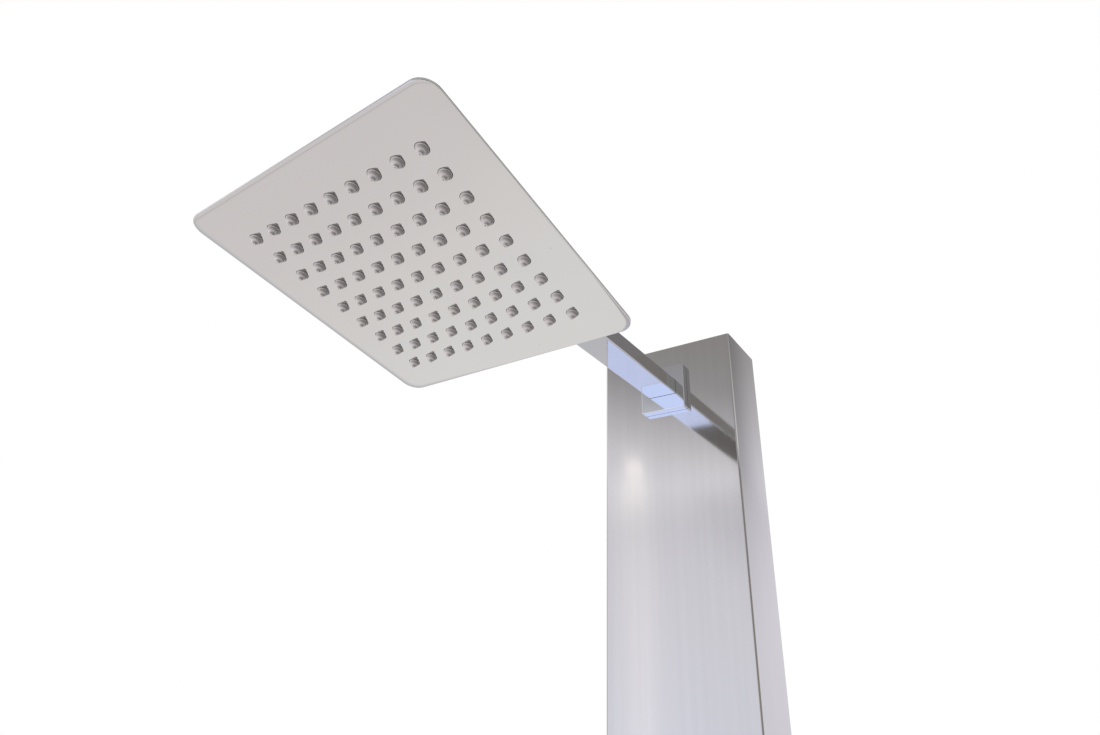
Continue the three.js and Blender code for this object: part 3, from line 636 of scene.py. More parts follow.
def end_cap(name, side):
    """Tray that closes one end, with its front and side edges turned in. side is 1 for the top."""
    sheet, bend = 1.2, 1.6
    reach = 3
    low, high = extent(name)
    size = high - low
    middle = (low.y + high.y) / 2
    inside = (low.z - 5, high.z - sheet) if side > 0 else (low.z + sheet, high.z + 5)
    outside = slab(size.x, size.y, bend, low.z, high.z, 0.5)
    hollow = slab(size.x - 2 * sheet, size.y + 2 * reach, bend - 1.1, *inside, 0.3)
    moved(outside, y=middle)
    moved(hollow, y=middle + reach + sheet)
    show(cut(outside, hollow), name)


def crossbar(name):
    """Strip across the open back, its edges rounded."""
    low, high = extent(name)
    at = place(0, 0, (low.z + high.z) / 2, along("y"))
    show(slab(high.x - low.x, high.z - low.z, 0.8, low.y, high.y, 0.35), name, at)


def wall_bracket(name):
    """Slotted plate on the wall, stepped forward to a hook that turns up."""
    sheet, bend = 2.0, 2.2
    slot, slot_x, slot_up = (12, 6, 3), 38, 18
    low, high = extent(name)
    step = low.z + 36
    section = [
        (0, low.z, 0.2), (-sheet, low.z, 0.2), (-sheet, step, bend - 1.7), (low.y, step, bend),
        (low.y, high.z, 0.4), (low.y + sheet, high.z, 0.4), (low.y + sheet, step + sheet, bend - 1.7),
        (0, step + sheet, bend),
    ]
    folded = moved(prism(rounded(section, 0, 6), low.x, high.x), turn=along("x"))
    slots = [moved(skin([loop(*slot, z) for z in (-5, 5)]), x, 0, low.z + slot_up, along("y"))
             for x in (-slot_x, slot_x)]
    show(soften(cut(folded, *slots), 0.2, above=60), name)


def build_column_body():
    column_shell()
    end_cap("top_cap", 1)
    end_cap("bottom_cap", -1)
    for name in ("upper_crossbar", "lower_crossbar"):
        crossbar(name)
    for name in ("upper_wall_bracket", "lower_wall_bracket"):
        wall_bracket(name)


# ------------------------------------------------------------------ arm
def threaded(z0, z1):
    """A solid threaded bar, its crests and roots turned as rings."""
    depth = 0.6
    rim = [(0, z0), (THREAD - 1, z0)]
    for k in range(int((z1 - z0) / PITCH)):
        z = z0 + PITCH * (k + 0.25)
        rim += [(THREAD - depth, z), (THREAD, z + PITCH * 0.45), (THREAD, z + PITCH * 0.55)]
    return lathe(rim + [(THREAD - 1, z1), (0, z1)])


def shower_arm():
    """Rectangular tube with softened edges, its root plate, nipple and water spigot."""
    width, height, bore = 30, 16, 6
    low, high = extent("shower_arm")
    root_back = FRONT - 1.6
    tube_shape = slab(width, height, 1.1, low.y, root_back, 0.8)
    root = slab(40, 30, 2, root_back - 3, root_back, 0.3)
    nipple = threaded(root_back - 1, high.y)
    level = [moved(shape, z=ARM_Z, turn=along("y")) for shape in (tube_shape, root, nipple)]
    spigot = moved(threaded(low.z, ARM_Z - height / 2 + 1), y=BALL_AT.y)
    inlet = bar("y", bore, high.y - 40, high.y + 2, (0, 0, ARM_Z))
    outlet = moved(rod(bore, low.z - 2, low.z + 14), y=BALL_AT.y)
    show(cut(join(*level, spigot), inlet, outlet), "shower_arm", material=ARM_STEEL)


def square_cup(name, side, wall, window, at, edge, material=None):
    """Square cover pressed from sheet, open behind, with a window for what passes through it.
    window is (width, height, corner). Its local Z runs from the front face to the back rim."""
    front, back = span(name, "y")
    depth = back - front
    corner = 1.6
    width, height, window_corner = window
    inside = side - 2 * wall
    edge_in = 0.15
    flared = loop(width + 2 * edge_in, height + 2 * edge_in, window_corner + edge_in, 0)
    loops = [loop(*window, wall), loop(*window, edge_in), flared]
    loops += edge_loops(side, side, corner, 0, depth, edge)[:EDGE_STEPS + 1]
    loops += [loop(side, side, corner, depth)]
    loops += [loop(inside, inside, 0.6, z) for z in (depth, wall)]
    show(skin(loops, closed=True), name, at, material)


def build_arm():
    """The arm and its cover, what clamps it to the sheet, and the elbow behind."""
    shower_arm()
    cover = place(0, span("arm_flange", "y")[0], ARM_Z, along("y"))
    square_cup("arm_flange", 48, 1.4, (30.3, 16.3, 1.15), cover, 0.8, FLANGE_CHROME)
    centre = place(0, 0, ARM_Z, along("y"))
    for name, size, edge, hole in (("arm_gasket", (40, 30, 2), 0.2, THREAD_BORE),
                                   ("arm_backing_plate", (90, 70, 3), 0.4, ARM_HOLE)):
        low, high = span(name, "y")
        show(cut(slab(*size, low, high, edge), rod(hole, low - 1, high + 1)), name, centre)
    show(tube(16, THREAD_BORE, *span("arm_lock_washer", "y"), 0.3), "arm_lock_washer", centre)
    low, high = span("arm_locknut", "y")
    nut = cut(hexagon_bar(15.5, low, high), rod(THREAD_BORE, low - 1, high + 1))
    show(nut, "arm_locknut", centre)
    show(tube(13, THREAD_BORE, *span("elbow_seal", "y"), 0.9), "elbow_seal", centre)
    riser_elbow()


def hexagon_bar(radius, z0, z1):
    """Solid hexagon whose corners are turned off at both ends."""
    chamfer = 1.2
    face = radius - chamfer
    turned = lathe([(0, z0 - 1), (face, z0 - 1), (face, z0), (radius + 0.5, z0 + chamfer),
                    (radius + 0.5, z1 - chamfer), (face, z1), (face, z1 + 1), (0, z1 + 1)])
    return combine("INTERSECT", prism(polygon(radius, 6), z0, z1), turned)


def riser_elbow():
    """Cast elbow with a socket for the arm's nipple and a male thread down to the hose."""
    foot = span("riser_elbow", "z")[0]
    mouth = span("riser_elbow", "y")[0]
    radius, bore = 14, 7
    level = (0, 0, ARM_Z)
    corner = (0, RISER_Y, ARM_Z)
    whole = join(
        bar("y", radius, mouth, RISER_Y, level, edge=0.8),
        bar("y", radius + 0.01, mouth, mouth + 5, level, edge=0.8),
        sphere(radius, corner),
        moved(rod(radius, ARM_Z - radius, ARM_Z, 0.8), y=RISER_Y),
        moved(threaded(foot, ARM_Z - 4), y=RISER_Y),
    )
    hollow = cut(
        whole,
        bar("y", THREAD_BORE, mouth - 1, span("shower_arm", "y")[1] + 0.3, level),
        bar("y", bore, mouth, RISER_Y, level),
        moved(rod(bore, foot - 1, ARM_Z), y=RISER_Y),
        sphere(bore, corner),
    )
    show(hollow, "riser_elbow")


# ------------------------------------------------------------------ riser hose
HOSE_SAMPLES = 440
HOSE_BORE = 7.1


def hose_route():
    """Centre line of the hose: straight out of each nut, with a slack bow between."""
    foot, head = span("riser_hose", "z")
    points = []
    for i in range(HOSE_SAMPLES + 1):
        t = i / HOSE_SAMPLES
        ease = math.sin(math.pi * t) ** 2
        sideways = 9 * ease * math.sin(2 * math.pi * t)
        points.append(Vector((sideways, RISER_Y + 6 * ease, head + (foot - head) * t)))
    return points


def sweep(bm, route, section, material=0):
    """Surface through a section placed at every point of a route. section(i) gives its points."""
    rows = []
    for i in range(len(route)):
        ahead = (route[min(i + 1, len(route) - 1)] - route[max(i - 1, 0)]).normalized()
        side = ahead.cross(Vector((0, 1, 0))).normalized()
        across = ahead.cross(side)
        rows.append([bm.verts.new(route[i] + side * u + across * v) for u, v in section(i)])
    for a, b in zip(rows, rows[1:]):
        bridge(bm, a, b, material)
    for end in (rows[0], rows[-1]):
        bm.faces.new(end).material_index = material


STRANDS = 10  # flat bundles of wire in each direction
BRAID_PITCH = 46.0
BRAID_RADIUS = 6.12
BRAID_LIFT = 0.2  # how far a bundle rises where it passes over another


def bundle(index, hand, length):
    """Section of one woven bundle of the braid at every sample of the hose's route."""
    half_width, half_thick = 1.5, 0.13

    def at(i):
        travel = hand * 2 * math.pi * (length * i / HOSE_SAMPLES) / BRAID_PITCH
        angle = 2 * math.pi * index / STRANDS + travel
        met = angle + travel
        lift = hand * BRAID_LIFT * math.cos(STRANDS / 2 * met + index * math.pi)
        section = []
        for u, v in ((-1, -1), (1, -1), (1, 1), (0, 1.5), (-1, 1)):
            r = BRAID_RADIUS + lift + v * half_thick
            a = angle + u * half_width / BRAID_RADIUS
            section.append((r * math.cos(a), r * math.sin(a)))
        return section
    return at


def riser_hose():
    """Rubber tube inside a woven jacket of flat wire bundles."""
    route = hose_route()
    length = sum((b - a).length for a, b in zip(route, route[1:]))
    core = polygon(5.75, 24)
    bm = bmesh.new()
    sweep(bm, route, lambda i: core, material=1)
    for hand in (1, -1):
        for index in range(STRANDS):
            sweep(bm, route, bundle(index, hand, length))
    hose = show(outward(bm), "riser_hose")
    hose.data.materials.append(MATERIALS["rubber"])


def build_riser():
    """The hose, and at each end its nut with a lip, its washer and its ferrule."""
    riser_hose()
    riser = place(0, RISER_Y, 0)
    lip = 4
    for end in ("upper", "lower"):
        low, high = span(f"hose_nut_{end}", "z")
        thread = (low + lip, high + 1) if end == "upper" else (low - 1, high - lip)
        nut = cut(hexagon_bar(14, low, high), rod(THREAD_BORE, *thread), rod(HOSE_BORE, low - 1, high + 1))
        show(nut, f"hose_nut_{end}", riser)
        show(tube(10, 6.9, *span(f"hose_washer_{end}", "z"), 0.4), f"hose_washer_{end}", riser)
        ferrule(f"hose_ferrule_{end}", riser)


def ferrule(name, at):
    """Thin steel sleeve with three crimped grooves."""
    low, high = span(name, "z")
    outer, inner, first, apart, half_width = 8.8, 7.3, 5, 7, 1.8
    rim = [(inner, low), (outer, low)]
    for k in range(3):
        z = low + first + apart * k
        rim += groove(outer, 0.7, z - half_width, z + half_width, slope=1, corner=0.8)
    show(lathe(rim + [(outer, high), (inner, high)], 0.25), name, at)


# ------------------------------------------------------------------ mixer
# Drawn about the point where the spindle's axis meets the column's front: -Y is in front of it.
INLET_X, INLET_Z = 36, -8
PORTS = [(-7, -8), (7, -8), (0, 7)]  # X and Z of the two ways in and the way out
LINE = RISER_Y - FRONT
PIN_HOLE = 1.8


def ports(start, end):
    return [bar("y", 3, start, end, (x, 0, z), segments=32) for x, z in PORTS]


def mixer_body():
    """Cast body: a barrel for the cartridge, a cross for the two supplies and an outlet upwards."""
    low, high = extent("mixer_body", MIXER)
    barrel, neck, supply, outlet, chamber, bore = 23, 20, 12, 13, 17.8, 7
    parts = [
        bar("y", barrel, 1.8, high.y, edge=2),
        bar("y", neck, low.y, 4, edge=0.6),
        bar("x", supply, low.x, high.x, (0, LINE, INLET_Z), edge=2),
        moved(rod(outlet, 0, high.z - 16, 1), y=LINE),
        moved(threaded(high.z - 20, high.z), y=LINE),
    ]
    tools = [bar("y", chamber, low.y - 1, 19), moved(rod(bore, 2, high.z + 1), y=LINE)]
    for side in (-1, 1):
        x = side * INLET_X
        parts.append(moved(threaded(low.z, INLET_Z), x, LINE))
        tools.append(bar("x", 5, side * 4, side * (INLET_X + 6), (0, LINE, INLET_Z)))
        tools.append(moved(rod(bore, low.z - 1, INLET_Z - 3), x, LINE))
    show(cut(join(*parts), *tools, *ports(18, LINE)), "mixer_body", MIXER)


def ring_nut():
    """Thin ring nut behind the escutcheon, with six notches for a hook spanner."""
    low, high = span("mixer_ring_nut", "y", MIXER)
    notches = around(6, lambda: box((25, -2, low - 1), (29, 2, high + 1)))
    show(cut(tube(27, 20.3, low, high, 0.4), *notches), "mixer_ring_nut", MIXER_AXIS)


def mixer_dome():
    """Part of a hollow sphere round the lever's pivot."""
    front, back = span("mixer_dome", "y", MIXER)
    radius, inner, steps = 24, 22.4, 24
    inner_back = PIVOT + (back - PIVOT) * inner / radius
    profile = arc(radius, back, front, steps, PIVOT) + arc(inner, front, inner_back, steps, PIVOT)
    show(lathe(profile, segments=96), "mixer_dome", MIXER_AXIS)


def paddle(low, high):
    """Flat grip with rounded ends, which thins towards its tip."""
    width, root, tip, edge, steps = 24, 9, 5.0, 2.0, 24
    sections = []
    for k in range(steps + 1):
        t = k / steps
        z = low.z + (high.z - low.z) * t
        near_end = min(z - low.z, high.z - z)
        inset = edge - math.sqrt(max(edge ** 2 - max(edge - near_end, 0) ** 2, 0))
        thick = tip + (root - tip) * min(1.0, 1.25 * t)
        flat = loop(width - 2 * inset, thick - 2 * inset, 2.2, z)
        sections.append([(x, y + low.y + thick / 2, height) for x, y, height in flat])
    return skin(sections)


def lever_handle():
    """Square knob over the dome, with the paddle that turns and lifts it."""
    low, high = extent("lever_handle", MIXER)
    knob_front = low.y + 8
    knob = moved(slab(42, 42, 4, knob_front, high.y, 1.6), turn=along("y"))
    pocket = sphere(24.6, (0, PIVOT, 0), rows=48)
    half = 3.55
    socket = box((-half, low.y + 10.7, -half), (half, PIVOT, half))
    screw_hole = moved(rod(2.8, -22, 0), y=(knob_front + high.y) / 2 - 1)
    show(cut(join(knob, paddle(low, high)), pocket, socket, screw_hole), "lever_handle", MIXER)


def lever_screw():
    """Grub screw with a hexagon socket, and the plug that hides it."""
    y = sum(span("lever_set_screw", "y", MIXER)) / 2
    low, high = span("lever_set_screw", "z", MIXER)
    screw = cut(rod(2.4, low, high, 0.4), prism(polygon(1.3, 6), low - 1, low + 2.5))
    show(moved(screw, y=y), "lever_set_screw", MIXER)
    low, high = span("lever_screw_plug", "z", MIXER)
    plug = lathe([(0, low), (2.5, low, 0.5), (2.5, high, 0.3), (0, high)])
    show(moved(plug, y=y), "lever_screw_plug", MIXER)


def inlet_fittings(name, side):
    """Non-return valve and strainer of one supply."""
    x = side * INLET_X
    outer, inner, wall = 6.7, 3.4, 0.8
    low, high = span(f"{name}_check_valve", "z", MIXER)
    profile = [(inner, low), (outer, low), *groove(outer, 0.5, low + 4, high - 4),
               (outer, high), (inner, high)]
    show(moved(lathe(profile, 0.4), x, LINE), f"{name}_check_valve", MIXER)
    low, high = span(f"{name}_strainer", "z", MIXER)
    cup = lathe([(0, high, 0), (outer, high), (outer, low), (outer - 1, low), (outer - 1, high - wall),
                 (0, high - wall, 0)], 0.25)
    mesh = [(0, 0), *polygon(1.9, 6), *polygon(3.8, 12)]
    drill = [moved(rod(0.55, high - 2, high + 1, segments=12), *hole) for hole in mesh]
    show(moved(cut(cup, *drill), x, LINE), f"{name}_strainer", MIXER)


def cartridge_stack():
    """The cartridge's pieces that hold still, from its seal at the back to its housing in front."""
    for name, radius, edge in (("cartridge_seal", 17.4, 0.5), ("cartridge_base", 15.1, 0.4),
                               ("fixed_ceramic_disc", 13.5, 0.25)):
        start, end = span(name, "y", MIXER)
        show(cut(bar("y", radius, start, end, edge=edge), *ports(start - 1, end + 1)), name, MIXER)
    front, back = span("cartridge_housing", "y", MIXER)
    outer, inner, lip = 17.5, 15.5, 11
    shell = [(inner, back), (outer, back), (outer, front, 0.8), (lip, front, 0.8), (lip, front + 3),
             (inner, front + 3)]
    show(lathe(shell, 0.3), "cartridge_housing", MIXER_AXIS)


def cartridge_works():
    """Its moving disc, holder and carrier, and the ring and pin that hold them."""
    start, end = span("moving_ceramic_disc", "y", MIXER)
    recess = bar("y", 5, end - 1.5, end + 1)
    show(cut(bar("y", 10, start, end, edge=0.25), recess), "moving_ceramic_disc", MIXER)
    start, end = span("disc_holder", "y", MIXER)
    half = 3.3
    pocket = box((-half, start - 1, -half), (half, end - 0.6, half))
    show(cut(bar("y", 10.8, start, end, edge=0.4), pocket), "disc_holder", MIXER)
    start, end = span("cartridge_carrier", "y", MIXER)
    slot = box((-4, start - 1, -8), (4, end + 1, 8))
    pin_at = (0, PIVOT, 0)
    carrier = cut(bar("y", 14.9, start, end, edge=0.5), slot, bar("x", PIN_HOLE, -20, 20, pin_at))
    show(carrier, "cartridge_carrier", MIXER)
    start, end = span("cartridge_retainer", "y", MIXER)
    flats = around(4, lambda: box((15.5, -3, start - 1), (19, 3, start + 2)))
    show(cut(tube(17.3, 12.5, start, end, 0.5), *flats), "cartridge_retainer", MIXER_AXIS)
    show(bar("x", 1.5, -13, 13, pin_at, edge=0.4, segments=32), "spindle_pin", MIXER)


def mixer_spindle():
    """Square stem that the lever sits on, ending in the knuckle that slides the disc."""
    front, back = span("mixer_spindle", "y", MIXER)
    side, knuckle = 6.5, 2.4
    tip = back - knuckle
    stem = moved(slab(side, side, 0.5, front, PIVOT + 3.5, 0.5), turn=along("y"))
    foot = bar("y", 2.2, PIVOT + 3, tip, edge=0.1, segments=32)
    pin_hole = bar("x", PIN_HOLE, -6, 6, (0, PIVOT, 0), segments=32)
    whole = join(stem, foot, sphere(knuckle, (0, tip, 0), rows=16))
    show(cut(whole, pin_hole), "mixer_spindle", MIXER)


def mixer_gasket():
    low, high = span("mixer_gasket", "y", MIXER)
    wide, narrow = (66, 66, 1.5), (58, 58, 0.8)
    loops = [loop(*wide, low), loop(*wide, high), loop(*narrow, high), loop(*narrow, low)]
    show(skin(loops, closed=True), "mixer_gasket", MIXER_AXIS)


def build_mixer():
    mixer_body()
    ring_nut()
    mixer_gasket()
    cover = place(0, span("mixer_escutcheon", "y")[0], MIXER_Z, along("y"))
    square_cup("mixer_escutcheon", 66, 1.5, (49, 49, 24.5), cover, 1.0)
    mixer_dome()
    lever_handle()
    lever_screw()
    mixer_spindle()
    inlet_fittings("hot", -1)
    inlet_fittings("cold", 1)
    cartridge_stack()
    cartridge_works()


# ------------------------------------------------------------------ ball joint
BALL = 9.0
SEAT = 10.6  # radius of the hollow that the ball's liner and seal lie in


def build_joint():
    """Fixed half: the ball on its neck, under a threaded socket with its washer and regulator."""
    top = span("swivel_ball", "z", UPRIGHT_BALL)[1]
    bore, neck, socket, floor = 3, 4.75, 13, 14.3
    profile = arc(BALL, -height_at(BALL, bore), height_at(BALL, neck), 30) + [
        (neck, floor - 1.5, 1.2), (socket, floor - 1.5, 1.0),
        *groove(socket, 0.6, floor + 4, floor + 5.6), (socket, top, 0.5),
        (THREAD_BORE, top, 0.4), (THREAD_BORE, floor, 0.2), (bore, floor, 0.3),
    ]
    show(lathe(profile, segments=96), "swivel_ball", UPRIGHT_BALL)
    for name, outer, inner, edge in (("swivel_washer", 10.2, 6, 0.5), ("flow_regulator", 5.6, 1.6, 0.4)):
        show(tube(outer, inner, *span(name, "z", UPRIGHT_BALL), edge), name, UPRIGHT_BALL)


def seat_ring(name):
    """Ring between the ball and its seat, with both faces part of a sphere."""
    low, high = span(name, "z", HEAD)
    profile = arc(BALL + 0.3, low, high) + arc(SEAT - 0.3, high, low)
    show(lathe(profile, segments=96), name, HEAD)


# ------------------------------------------------------------------ rain head
# Drawn about the ball's centre: -Z is the way the water leaves.
PER_SIDE = 9
NOZZLE_PITCH = 17.5
HOLE = 4.0
HOLE_CHAMFER = 0.16
CELL_POINTS = 32
HALF_GRID = PER_SIDE * NOZZLE_PITCH / 2


def places():
    middle = (PER_SIDE - 1) / 2
    for row in range(PER_SIDE):
        for file in range(PER_SIDE):
            yield (file - middle) * NOZZLE_PITCH, (row - middle) * NOZZLE_PITCH


class Sheet:
    """Mesh whose points are shared by place, for flat perforated sheets."""

    def __init__(self):
        self.bm = bmesh.new()
        self.known = {}

    def point(self, x, y, z):
        key = (round(x, 3), round(y, 3), round(z, 3))
        if key not in self.known:
            self.known[key] = self.bm.verts.new((x, y, z))
        return self.known[key]

    def strip(self, first, second):
        """Quads between two equal closed rows of points."""
        a, b = ([self.point(*p) for p in row] for row in (first, second))
        for i in range(len(a)):
            j = (i + 1) % len(a)
            corners = list(dict.fromkeys((a[i], a[j], b[j], b[i])))
            if len(corners) > 2:
                self.bm.faces.new(corners)

    def rows(self, rows):
        for a, b in zip(rows, rows[1:]):
            self.strip(a, b)


def perforated(profile, border):
    """Sheet with the same turned hole in every cell of the grid, closed by rows round its outside."""
    sheet = Sheet()
    for radius, z in (profile[0], profile[-1]):
        for x, y in places():
            sheet.strip(circle(x, y, radius, z), cell_edge(x, y, z))
    sheet.rows(border)
    for x, y in places():
        sheet.rows([circle(x, y, r, z) for r, z in profile])
    return outward(sheet.bm)


def circle(x, y, radius, z):
    return [(x + dx, y + dy, z) for dx, dy in polygon(radius, CELL_POINTS)]


def cell_edge(x, y, z):
    """Points round a grid cell, one for each of its circle's."""
    points = []
    for cx, cy in polygon(1, CELL_POINTS):
        reach = NOZZLE_PITCH / 2 / max(abs(cx), abs(cy))
        points.append((x + cx * reach, y + cy * reach, z))
    return points


def grid_border():
    """The cells' outer points, in order round the square."""
    found = set()
    for x, y in places():
        for px, py, _ in cell_edge(x, y, 0):
            if max(abs(px), abs(py)) > HALF_GRID - 0.01:
                found.add((round(px, 3), round(py, 3)))
    return sorted(found, key=lambda p: math.atan2(p[1], p[0]))


BORDER = grid_border()


def wider(half, corner, z):
    """The border grown to a larger square with round corners."""
    row = []
    for x, y in BORDER:
        qx, qy = x * half / HALF_GRID, y * half / HALF_GRID
        inner = half - corner
        if abs(qx) > inner and abs(qy) > inner:
            centre = Vector((math.copysign(inner, qx), math.copysign(inner, qy)))
            qx, qy = centre + (Vector((qx, qy)) - centre).normalized() * corner
        row.append((qx, qy, z))
    return row


def grid_row(z):
    return wider(HALF_GRID, 0.01, z)


def face_plate():
    """Perforated plate whose border is drawn up a little towards its thin rim."""
    front, back = span("head_face_plate", "z", HEAD)
    half, corner = 100, 11
    flat_half, flat_corner, lift, rim, back_rim, steps = 90.5, 5, 0.25, 0.5, 0.12, 10
    border = [grid_row(front), wider(flat_half, flat_corner, front)]
    for k in range(1, steps + 1):
        t = k / steps
        reach = flat_half + (half - rim - flat_half) * t
        border.append(wider(reach, flat_corner + (corner - rim - flat_corner) * t, front + lift * t ** 4))
    for k in range(1, EDGE_STEPS + 1):
        a = k / EDGE_STEPS * math.pi / 2
        reach = half - rim * (1 - math.sin(a))
        border.append(wider(reach, corner - (half - reach), front + lift + rim * (1 - math.cos(a))))
    border += [wider(half, corner, back - back_rim), wider(half - back_rim, corner - back_rim, back),
               grid_row(back)]
    hole = [(HOLE + HOLE_CHAMFER, front), (HOLE + 0.05, front + 0.05), (HOLE, front + HOLE_CHAMFER),
            (HOLE, back)]
    show(perforated(hole, border), "head_face_plate", HEAD, FACE_STEEL)


def nozzle_profile(face, mat_low, end, mat_top):
    """Outside of one nozzle: plug, collar, bulb and short tip, then back up through its bore."""
    base, collar, bulb, tip, bore, mouth, edge = 3.7, 0.5, 2.7, 1.25, 0.25, 2.3, 0.25
    crown = base - 0.55
    neck = tip + 0.75
    step = face - collar
    profile = [(base, mat_low), (base, step + 0.15), (base - 0.15, step), (crown, step)]
    steps = 8
    for k in range(1, steps + 1):
        a = k / steps * math.pi / 2
        profile.append((neck + (crown - neck) * math.cos(a), step - (bulb - collar) * math.sin(a)))
    profile += [(neck - 0.25, face - bulb - 0.15), (tip, face - bulb - 0.9), (tip, end + edge),
                (tip - 0.3 * edge, end + 0.3 * edge), (tip - edge, end), (bore + 0.1, end),
                (bore, end + 0.15), (bore, face - bulb + 0.6), (mouth, mat_low), (mouth, mat_top)]
    return profile


def nozzle_mat():
    """Silicone mat with a hollow nozzle under each of its holes."""
    low, high = span("nozzle_mat", "z", HEAD)
    face, plate_back = span("head_face_plate", "z", HEAD)
    under = plate_back + 0.3
    half, corner, edge = HALF_GRID + 1.2, 3, 0.2
    outside = [(half - edge, under), (half, under + edge), (half, high - edge), (half - edge, high)]
    border = [grid_row(under), *(wider(reach, corner, z) for reach, z in outside), grid_row(high)]
    show(perforated(nozzle_profile(face, under, low + 0.2, high), border), "nozzle_mat", HEAD)


def top_plate():
    """Pressed sheet: flat rim, a soft rise and a plateau over the water chamber."""
    low, high = span("head_top_plate", "z", HEAD)
    side, corner, sheet, edge = 200, 11, 1.0, 0.3
    foot_side, top_side, steps = 186, 156, 12
    outer, under = ([ring_loop(radius, z) for radius in (6, 24)] for z in (high, high - sheet))
    for k in range(steps + 1):
        t = k / steps
        width = top_side + (foot_side - top_side) * t
        z = high - (high - low - sheet) * t * t * (3 - 2 * t)
        outer.append(loop(width, width, 10, z))
        under.append(loop(width - 0.6, width - 0.6, 9.7, z - sheet))
    rim = edge_loops(side, side, corner, low, low + sheet, edge)
    show(skin(outer + rim[::-1] + under[::-1], closed=True), "head_top_plate", HEAD)


def head_hub():
    """Threaded cup on a flange, which holds the ball from below."""
    low, high = span("head_hub", "z", HEAD)
    waterway, cup, flange = 6, 12, 22
    profile = [(waterway, low, 0.2), (flange, low, 0.2), (flange, low + 2, 0.6), (cup, low + 2, 1.2),
               (cup, high, 0.3)]
    profile += arc(SEAT, high, -height_at(SEAT, waterway), 16)
    show(lathe(profile, segments=96), "head_hub", HEAD)


def ball_collar():
    """Ring nut over the cup: knurled grip, coned shoulder and a lip round the ball."""
    low, high = span("ball_collar", "z", HEAD)
    lip, outer, thread = 8.6, 15.5, 12.3
    seat_low = SEAT * math.sin(math.radians(-3.2))
    profile = [(thread, -0.7, 0), (thread, low, 0.3), (outer, low, 0.6),
               *groove(outer, 0.5, low + 2.2, low + 3.8), (outer, 3.5, 1.2), (12, high, 0.8),
               (lip, high, 0.4), *arc(SEAT, height_at(SEAT, lip), seat_low, 16)]
    show(lathe(profile, segments=96), "ball_collar", HEAD)


def build_head():
    for name in ("ball_liner", "ball_seal"):
        seat_ring(name)
    ball_collar()
    head_hub()
    top_plate()
    nozzle_mat()
    face_plate()


dress_cad_nodes()
build_column_body()
build_arm()
build_riser()
build_mixer()
build_joint()
build_head()

# ------------------------------------------------------------------ camera and studio
def make_camera():
    """A wide lens below and to the right of the head, looking up at it."""
    azimuth, elevation, roll = (math.radians(a) for a in (-35.76, 25.47, 2.37))
    ahead = Vector((math.sin(azimuth), math.cos(azimuth), 0)) * math.cos(elevation)
    ahead.z = math.sin(elevation)
    level = Vector((math.cos(azimuth), -math.sin(azimuth), 0))
    right = level * math.cos(roll) + level.cross(ahead) * math.sin(roll)
    up = right.cross(ahead)
    eye = (0.2710, -0.6595, -0.2592)
    camera = bpy.data.objects.new("camera", bpy.data.cameras.new("camera"))
    camera.data.lens = 21.59
    camera.data.clip_start = 0.01
    turn = Matrix((right, up, -ahead)).transposed().to_4x4()
    camera.matrix_world = Matrix.Translation(eye) @ turn
    bpy.context.scene.collection.objects.link(camera)
    bpy.context.scene.camera = camera


def glow(graph, direction, toward, radius_deg, soft_deg):
    """1 inside a soft round patch of the surroundings, 0 outside it."""
    dot = graph.node("ShaderNodeVectorMath", operation="DOT_PRODUCT")
    graph.feed(dot.inputs[0], direction)
    graph.feed(dot.inputs[1], Vector(toward).normalized())
    outer, inner = (math.cos(math.radians(angle)) for angle in (radius_deg + soft_deg, radius_deg))
    return graph.soft(dot.outputs["Value"], outer, inner)


FLOOR_DEPTH = 2.1
FLOOR_RADIUS = 3.0

# Colours of the surroundings from straight down (0) through the horizon (0.5) to straight up (1):
# in front of the wall, and on the wall's side.
ROOM = [
    (0.0, (0.89, 0.855, 0.85)),
    (0.21, (0.90, 0.865, 0.86)),
    (0.30, (0.72, 0.74, 0.77)),
    (0.40, (0.915, 0.905, 0.965)),
    (0.50, (0.93, 0.92, 0.98)),
    (0.57, (1.00, 0.985, 1.065)),
    (0.62, (1.02, 1.00, 1.085)),
    (0.65, (0.86, 0.84, 0.89)),
    (0.685, (0.54, 0.53, 0.55)),
    (0.70, (0.42, 0.41, 0.42)),
    (0.735, (0.36, 0.345, 0.34)),
    (1.0, (0.45, 0.44, 0.44)),
]
WALL = [
    (0.0, (0.89, 0.855, 0.85)),
    (0.21, (0.90, 0.865, 0.86)),
    (0.26, (0.69, 0.70, 0.74)),
    (0.42, (0.86, 0.845, 0.915)),
    (0.56, (0.93, 0.92, 0.99)),
    (0.61, (0.95, 0.935, 1.01)),
    (0.65, (0.78, 0.77, 0.82)),
    (0.685, (0.60, 0.585, 0.61)),
    (0.72, (0.45, 0.435, 0.44)),
    (0.80, (0.36, 0.35, 0.35)),
    (1.0, (0.45, 0.44, 0.44)),
]


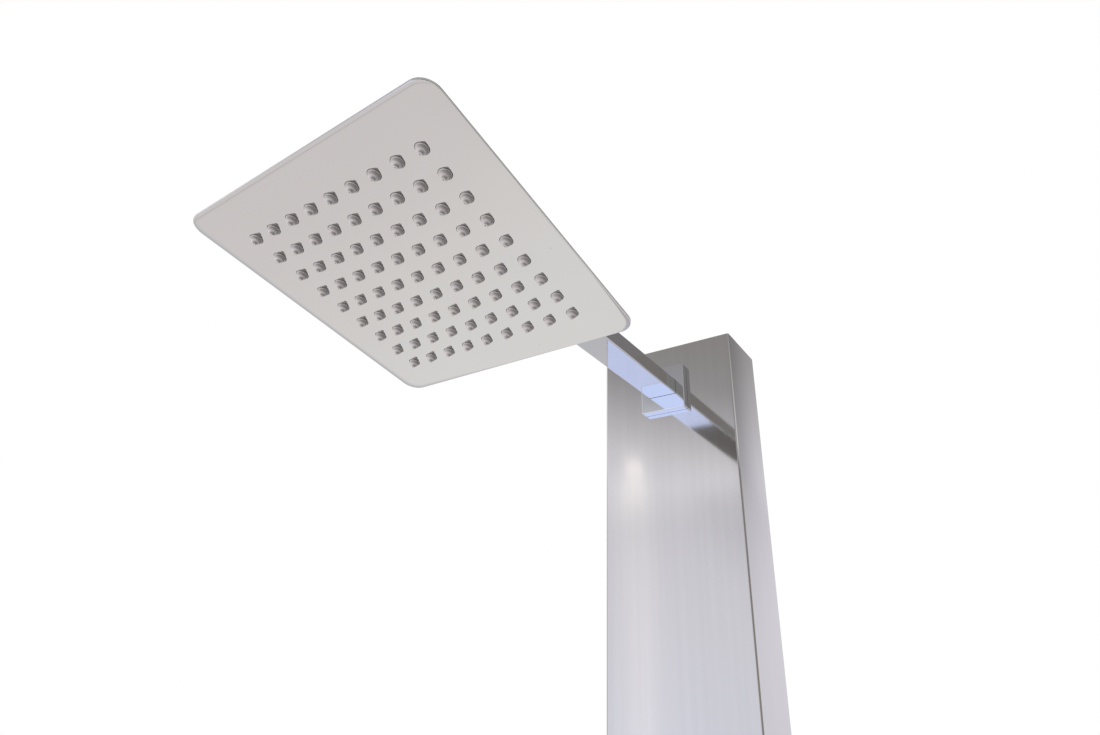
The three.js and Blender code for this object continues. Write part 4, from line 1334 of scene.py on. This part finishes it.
def surroundings(graph):
    """Soft pale studio, darker overhead, with the few lights and cards that the steel mirrors."""
    direction = graph.node("ShaderNodeTexCoord").outputs["Generated"]
    x, y, z = graph.split(direction)
    height = graph.math("MULTIPLY_ADD", z, 0.5, 0.5)
    slant = graph.math("DIVIDE", x, y)
    walls = graph.soft(y, -0.05, 0.05)
    leaning = graph.math("MULTIPLY_ADD", graph.math("SUBTRACT", slant, 0.42), -0.07, height)
    shell = graph.mix(walls, graph.ramp(leaning, ROOM), graph.ramp(height, WALL))
    curtain = graph.product(walls, graph.soft(slant, 0.30, 0.35), graph.soft(height, 0.50, 0.60))
    shell = graph.mix(curtain, shell, (0.58, 0.57, 0.58), "MULTIPLY")
    low_wall = graph.product(graph.soft(y, 0.12, 0.5), graph.soft(height, 0.245, 0.205))
    off_line = graph.math("ABSOLUTE", graph.math("SUBTRACT", slant, 0.53))
    window = graph.product(
        graph.soft(y, 0.0, -0.1), graph.soft(off_line, 0.05, 0.0), graph.soft(height, 0.67, 0.62)
    )
    beside = graph.product(glow(graph, direction, (-0.33, -0.93, 0.13), 3, 9), 0.10)
    lamp = glow(graph, direction, (-0.447, -0.845, 0.290), 0, 1)
    right = graph.product(graph.soft(x, 0.62, 0.75), graph.soft(height, 0.76, 0.64))
    cool = glow(graph, direction, (-0.43, -0.78, -0.46), 7, 9)
    for card, color in ((low_wall, (1.01, 1.0, 0.985)), (window, (1.34, 1.30, 1.31)),
                        (beside, (2.0, 2.0, 2.0)), (lamp, (1.4, 1.33, 1.33)),
                        (right, (0.85, 0.84, 0.82)), (cool, (1.2, 1.36, 1.92))):
        shell = graph.mix(card, shell, color)
    return shell


def make_world():
    """Lights the part by its surroundings, with plain white behind it for the camera."""
    world = bpy.data.worlds.new("studio")
    bpy.context.scene.world = world
    world.use_nodes = True
    world.node_tree.nodes.clear()
    graph = Graph(world.node_tree)
    light, backdrop = (
        graph.filled(graph.node("ShaderNodeBackground"), color)
        for color in (surroundings(graph), (1, 1, 1))
    )
    seen = graph.node("ShaderNodeLightPath").outputs["Is Camera Ray"]
    mixed = graph.filled(graph.node("ShaderNodeMixShader"), seen, light, backdrop)
    graph.feed(graph.node("ShaderNodeOutputWorld").inputs[0], mixed)


def make_side_light():
    """Broad soft light low on the left, which only models the matt pieces."""
    distance = 1.5
    light = bpy.data.lights.new("side_light", "AREA")
    light.shape = "DISK"
    light.size = 1.5
    light.energy = 45
    light.color = (1.0, 0.985, 0.97)
    lamp = bpy.data.objects.new("side_light", light)
    toward = Vector((0.55, 0.50, 0.62)).normalized()
    turn = toward.to_track_quat("-Z", "Y").to_matrix().to_4x4()
    lamp.matrix_world = Matrix.Translation(BALL_AT * MM - toward * distance) @ turn
    lamp.visible_camera = False
    lamp.visible_glossy = False
    bpy.context.scene.collection.objects.link(lamp)


def make_floor():
    """Plain pale floor under the wall panel, well below its foot."""
    bm = bmesh.new()
    bmesh.ops.create_circle(bm, cap_ends=True, segments=128, radius=FLOOR_RADIUS)
    floor = to_object("floor", moved(bm, z=-FLOOR_DEPTH))
    paint = Surface("pale_floor", Emission_Color=(0.97, 0.965, 0.96, 1), Emission_Strength=0.5)
    tone = paint.mix(paint.noise(180, detail=4), (0.78, 0.77, 0.76), (0.82, 0.815, 0.81))
    worn = paint.spread(paint.noise(60), 0.55, 0.7)
    floor.data.materials.append(paint.finish(tone, worn, (paint.noise(4, detail=4), 0.05)))
    floor.visible_glossy = False
    floor.visible_diffuse = False


make_camera()
make_world()
make_floor()
make_side_light()
bpy.context.scene.view_settings.view_transform = "Standard"
